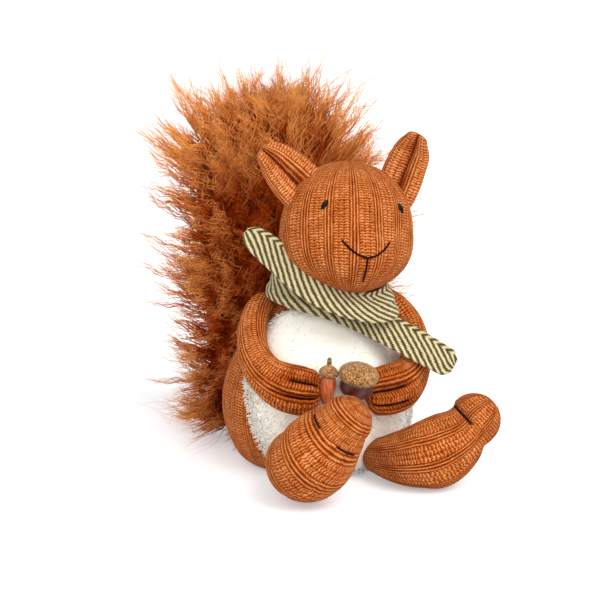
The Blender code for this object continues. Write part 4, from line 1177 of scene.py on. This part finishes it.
def lock_lengths(root, normal, height, low):
    """The length of each lock, which ones are thin wisps, and which wisps stand out past the far cheek."""
    count = len(root)
    far_side = (root[:, 0] > 34 * MM) & (height > 0.40) & (height < 0.66) & (normal[:, 1] < 0.35)
    wisp = rng.uniform(0, 1, count) < np.where(far_side, FAR_WISP_SHARE, WISP_SHARE)
    top_side = smooth_step(height, 0.55, 0.80) * smooth_step(np.abs(root[:, 0]), 15 * MM, 45 * MM)
    behind = smooth_step(normal[:, 1], -0.1, 0.6)
    facing = smooth_step(-normal[:, 1], 0.4, 0.9)
    crown = smooth_step(height, 0.84, 1.0)
    more = 0.35 * low + 0.90 * low ** 2 + 0.38 * top_side + 0.60 * behind + 0.15 * facing - 0.30 * crown
    length = LOCK_LENGTH * rng.uniform(0.80, 1.20, count) * (1 + more)
    longer = rng.uniform(1.45, 2.15, count) - 0.7 * low - 0.25 * top_side
    longer = longer - 0.3 * (root[:, 0] < 0) * (height < 0.72)
    length = length * np.where(wisp, longer, 1.0)
    far_wisp = wisp & far_side
    return np.where(far_wisp, rng.uniform(60, 80, count) * MM, length), wisp, far_wisp


def make_tail():
    """Wavy locks of fine strands with curled tips all over the core, and stray hairs, in four pieces."""
    root, normal = lock_roots(LOCK_COUNT)
    count = len(root)
    height = root[:, 2] / TAIL_HEIGHT
    low = np.clip(0.42 - height, 0, None) / 0.42 * (root[:, 0] < 0) * (normal[:, 1] < 0.35)
    way, lay = lock_ways(root, normal, height, low)
    length, wisp, far_wisp = lock_lengths(root, normal, height, low)
    way = units(way + far_wisp[:, None] * np.array(FAR_WISP_WAY))
    pitch = rng.uniform(13, 21, count) * MM
    phase = rng.uniform(0, TAU, count)
    # From here on, one row for each strand, and s runs from 0 at its root to 1 at its tip.
    lock = np.repeat(np.arange(count), STRANDS_IN_LOCK)
    total = len(lock)
    thin = wisp[lock]
    stray = rng.uniform(0, 1, total) < STRAY_SHARE
    s = np.linspace(0, 1, STRAND_KNOTS)[None, :, None]
    own_length = length[lock] * rng.uniform(0.75, 1.12, total)
    own_length = (own_length * np.where(stray, 1.6, 1.0))[:, None, None]
    ahead = way[lock][:, None]
    straight = s * (1 - 0.42 * s) * ahead + 0.5 * s * s * lay[lock][:, None]
    first = units(np.cross(way, np.array([0.2, 0.1, 1.0])))[lock][:, None]
    second = np.cross(ahead, first)
    sweep = TAU * s * (0.8 + 0.45 * s) * own_length / pitch[lock][:, None, None]
    sweep = sweep + phase[lock][:, None, None] + rng.normal(0, 0.20, (total, 1, 1))
    swing = np.where(thin, 4.2, 3.0)[:, None, None] * MM * (0.15 + s) * rng.uniform(0.75, 1.2, (total, 1, 1))
    waves = swing * (np.sin(sweep) * first + 0.7 * np.cos(sweep * 0.9) * second)
    waves = waves - waves[:, :1]
    curl_up = 7.0 * MM * s ** 4 * rng.uniform(-0.3, 1.0, (total, 1, 1)) * np.array([0.0, 0.0, 1.0])
    curl_in = -5.0 * MM * s ** 5 * rng.uniform(0.0, 1.0, (total, 1, 1)) * ahead
    spread = rng.normal(0, LOCK_SPREAD, (total, 3)) * np.where(thin, 0.7, 1.0)[:, None]
    spread -= normal[lock] * np.einsum("ij,ij->i", spread, normal[lock])[:, None]
    loose = rng.normal(0, 1.0, (total, 1, 3)) * 1.5 * MM * s ** 2
    loose = loose * np.where(stray, 3.0, 1.0)[:, None, None]
    base = root[lock] - normal[lock] * LOCK_SINK
    gather = np.where(thin, 0.80, 0.50)[:, None, None]
    paths = base[:, None] + spread[:, None] * (1 - gather * s) + straight * own_length
    paths = kept_in_box(paths + waves + curl_up + curl_in + loose)
    checked = paths[:, [STRAND_KNOTS // 2, STRAND_KNOTS - 1]]
    kept = ~(inside_body(checked) | inside_head(checked)).any(axis=1)
    thickness = rng.uniform(0.7, 1.35, total) * np.where(stray, 0.5, np.where(thin, 0.72, 1.0))
    radii = STRAND_RADIUS * STRAND_TAPER[None, :] * thickness[:, None]
    lock_tone = rng.normal(0, 0.09, count)
    # Each strand's tone is its lock's own random tone, with painted shade and painted light from its place on
    # the tail.
    tone_and_painted_light = lock_tone[lock] + rng.normal(0, 0.08, total) + tail_painted_light_and_shade(root)[lock]
    # The place along each strand sets its dark root and pale tip, partly painted shade and painted light.
    along = 0.10 + 0.78 * np.linspace(0, 1, STRAND_KNOTS) ** 0.8
    order = np.argsort(root[lock][:, 2], kind="stable")
    bundles = np.array_split(order[kept[order]], 4)
    return [strands("tail_fur_" + letter, paths[chosen], radii[chosen], {
        "along": along, "tone_and_painted_light": tone_and_painted_light[chosen, None]}) for letter, chosen in zip("abcd", bundles)]


def kept_in_box(paths):
    """Draws strands back along their own way where they'd reach too far past the solids' box."""
    low, high = (np.array(corner) for corner in CAD_BOX)
    margin = BOX_SHARE * (high - low) + BOX_PAST
    base = paths[:, :1]
    reach = paths - base
    room_up = (high + margin - base) / np.maximum(reach.max(axis=1, keepdims=True), 0.1 * MM)
    room_down = (low - margin - base) / np.minimum(reach.min(axis=1, keepdims=True), -0.1 * MM)
    share = np.minimum(np.minimum(room_up, room_down).min(axis=2, keepdims=True), 1.0)
    paths = base + reach * share
    paths[..., 2] = np.maximum(paths[..., 2], FLOOR_CLEAR)
    return paths


def tail_painted_light_and_shade(root):
    """Painted shade behind the head and low down on the near side, painted light at the top and out at the
    edges.
    """
    height = root[:, 2] / TAIL_HEIGHT
    painted_light = 0.14 * np.clip(height - 0.6, 0, 1) / 0.4 + 0.14 * np.abs(root[:, 0] / TAIL_HALF_WIDTH)
    painted_shade = np.exp(-((root[:, 0] + 8 * MM) / (34 * MM)) ** 2) * (root[:, 1] < 85 * MM) * (height < 0.8)
    return painted_light - 0.34 * painted_shade + 0.04


# The scene

def place_camera():
    turn, rise = math.radians(CAMERA_TURN), math.radians(CAMERA_RISE)
    right = np.array([math.cos(turn), math.sin(turn), 0.0])
    back = np.array([math.sin(turn) * math.cos(rise), -math.cos(turn) * math.cos(rise), math.sin(rise)])
    up = np.cross(back, right)
    middle = IMAGE_SIDE / 2
    target = (middle - ORIGIN_PIXEL[0]) * PIXEL * right + (ORIGIN_PIXEL[1] - middle) * PIXEL * up
    data = bpy.data.cameras.new("camera")
    data.sensor_width = SENSOR
    data.lens = SENSOR * CAMERA_AWAY / (IMAGE_SIDE * PIXEL)
    camera = bpy.data.objects.new("camera", data)
    axes = np.eye(4)
    axes[:3] = np.stack([right, up, back, target + back * CAMERA_AWAY], axis=1)
    camera.matrix_world = Matrix([list(row) for row in axes])
    bpy.context.scene.collection.objects.link(camera)
    bpy.context.scene.camera = camera


def seen_directly(tree):
    """1 where the camera, a mirror or a glass looks, 0 for the light that falls on the object."""
    path = tree.nodes.new("ShaderNodeLightPath")
    camera, glossy, glass = (
        Value(tree, path.outputs["Is " + ray + " Ray"]) for ray in ("Camera", "Glossy", "Transmission"))
    return camera.math("ADD", glossy, clamp=True).math("ADD", glass, clamp=True)


def light_scene():
    world = bpy.data.worlds.new("studio")
    bpy.context.scene.world = world
    world.use_nodes = True
    tree = world.node_tree
    background = tree.nodes["Background"]
    background.inputs["Color"].default_value = (1.0, 1.0, 1.0, 1.0)
    feed(tree, background.inputs["Strength"], blend(seen_directly(tree), WORLD_LIGHT, 1.0))
    for name, power, angle, turn, rise in LAMPS:
        data = bpy.data.lights.new(name, "SUN")
        data.energy = power
        data.angle = math.radians(angle)
        lamp = bpy.data.objects.new(name, data)
        lamp.rotation_euler = (math.radians(90 - rise), 0.0, math.radians(turn))
        bpy.context.scene.collection.objects.link(lamp)


def make_floor():
    half = FLOOR_HALF
    verts = [(-half, -half, 0), (half, -half, 0), (half, half, 0), (-half, half, 0)]
    floor = add_mesh("floor", verts, [np.array([[0, 1, 2, 3]])])
    material, tree = new_material("pale_floor", 0.9, specular=0.1)
    shader = tree.nodes["Principled BSDF"]
    shader.inputs["Base Color"].default_value = (0.86, 0.88, 0.90, 1.0)
    shader.inputs["Emission Color"].default_value = (1.0, 1.0, 1.0, 1.0)
    feed(tree, shader.inputs["Emission Strength"], seen_directly(tree) * FLOOR_GLOW)
    floor.data.materials.append(material)


def dress(piece, material, slot, *nodes):
    """Gives a piece its material and the body it rides on, and hides the CAD nodes that it stands for. The
    slot is not used.
    """
    piece.data.materials.append(material)
    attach(piece, "root")
    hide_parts(*nodes)
    return piece


def main():
    knit, pile, fur, thread = knit_material(), pile_material(), fur_material(), thread_material()
    stuffed = {
        "body": (make_body(), 0.7), "head": (make_head(), 0.85),
        "ear_right": (make_ear("right"), 0.4), "ear_left": (make_ear("left"), 0.4),
        "arm_right": (make_arm("right"), 0.6), "arm_left": (make_arm("left"), 0.6),
        "leg_right": (make_leg("right"), 0.8), "leg_left": (make_leg("left"), 0.8),
    }
    for node, (piece, fill) in stuffed.items():
        dress(piece, knit, "knit", node)
    for make in (make_cushion, make_pile):
        dress(make(), pile, "cream_pile", "belly_patch")
    scarf, flat = make_scarf()
    dress(scarf, scarf_material(), "scarf_cloth", "scarf")
    dress(make_tail_core(), fur, "tail_fur", "tail")
    for piece in make_tail():
        dress(piece, fur, "tail_fur", "tail")
    eye = eye_material()
    for label, side in (("right", -1), ("left", 1)):
        dress(make_eye("eye_bead_" + label, side), eye, "eye_black", "eye_" + label)
    for piece in make_mouth():
        dress(piece, thread, "dark_thread", "mouth_thread")
    for limb, levels in FINGER_TURNS.items():
        for level, turn in levels.items():
            place = limb + "_" + level
            sewn = make_thread("stitch_" + place, finger_points(limb, turn), STITCH_RADIUS)
            dress(sewn, thread, "dark_thread", "finger_thread_" + place)
    for node, place in TOE_THREADS.items():
        sewn = make_thread(node.replace("thread", "stitch"), toe_points(*place), STITCH_RADIUS)
        dress(sewn, thread, "dark_thread", node)
    wool = cap_material()
    finishes = {
        "acorn_large_nut": (nut_material("mahogany_satin", (48, 8, 3), (92, 22, 10), 0.35), "nut_dark"),
        "acorn_small_nut": (nut_material("chestnut_satin", (150, 62, 24), (206, 104, 48), 0.3), "nut_satin"),
        "acorn_large_cap": (wool, "cap_wool"),
        "acorn_small_cap": (wool, "cap_wool"),
    }
    for node, piece in make_acorns().items():
        material, slot = finishes[node]
        dress(piece, material, slot, node)
    place_camera()
    light_scene()
    make_floor()
    bpy.context.scene.view_settings.view_transform = "Standard"


main()
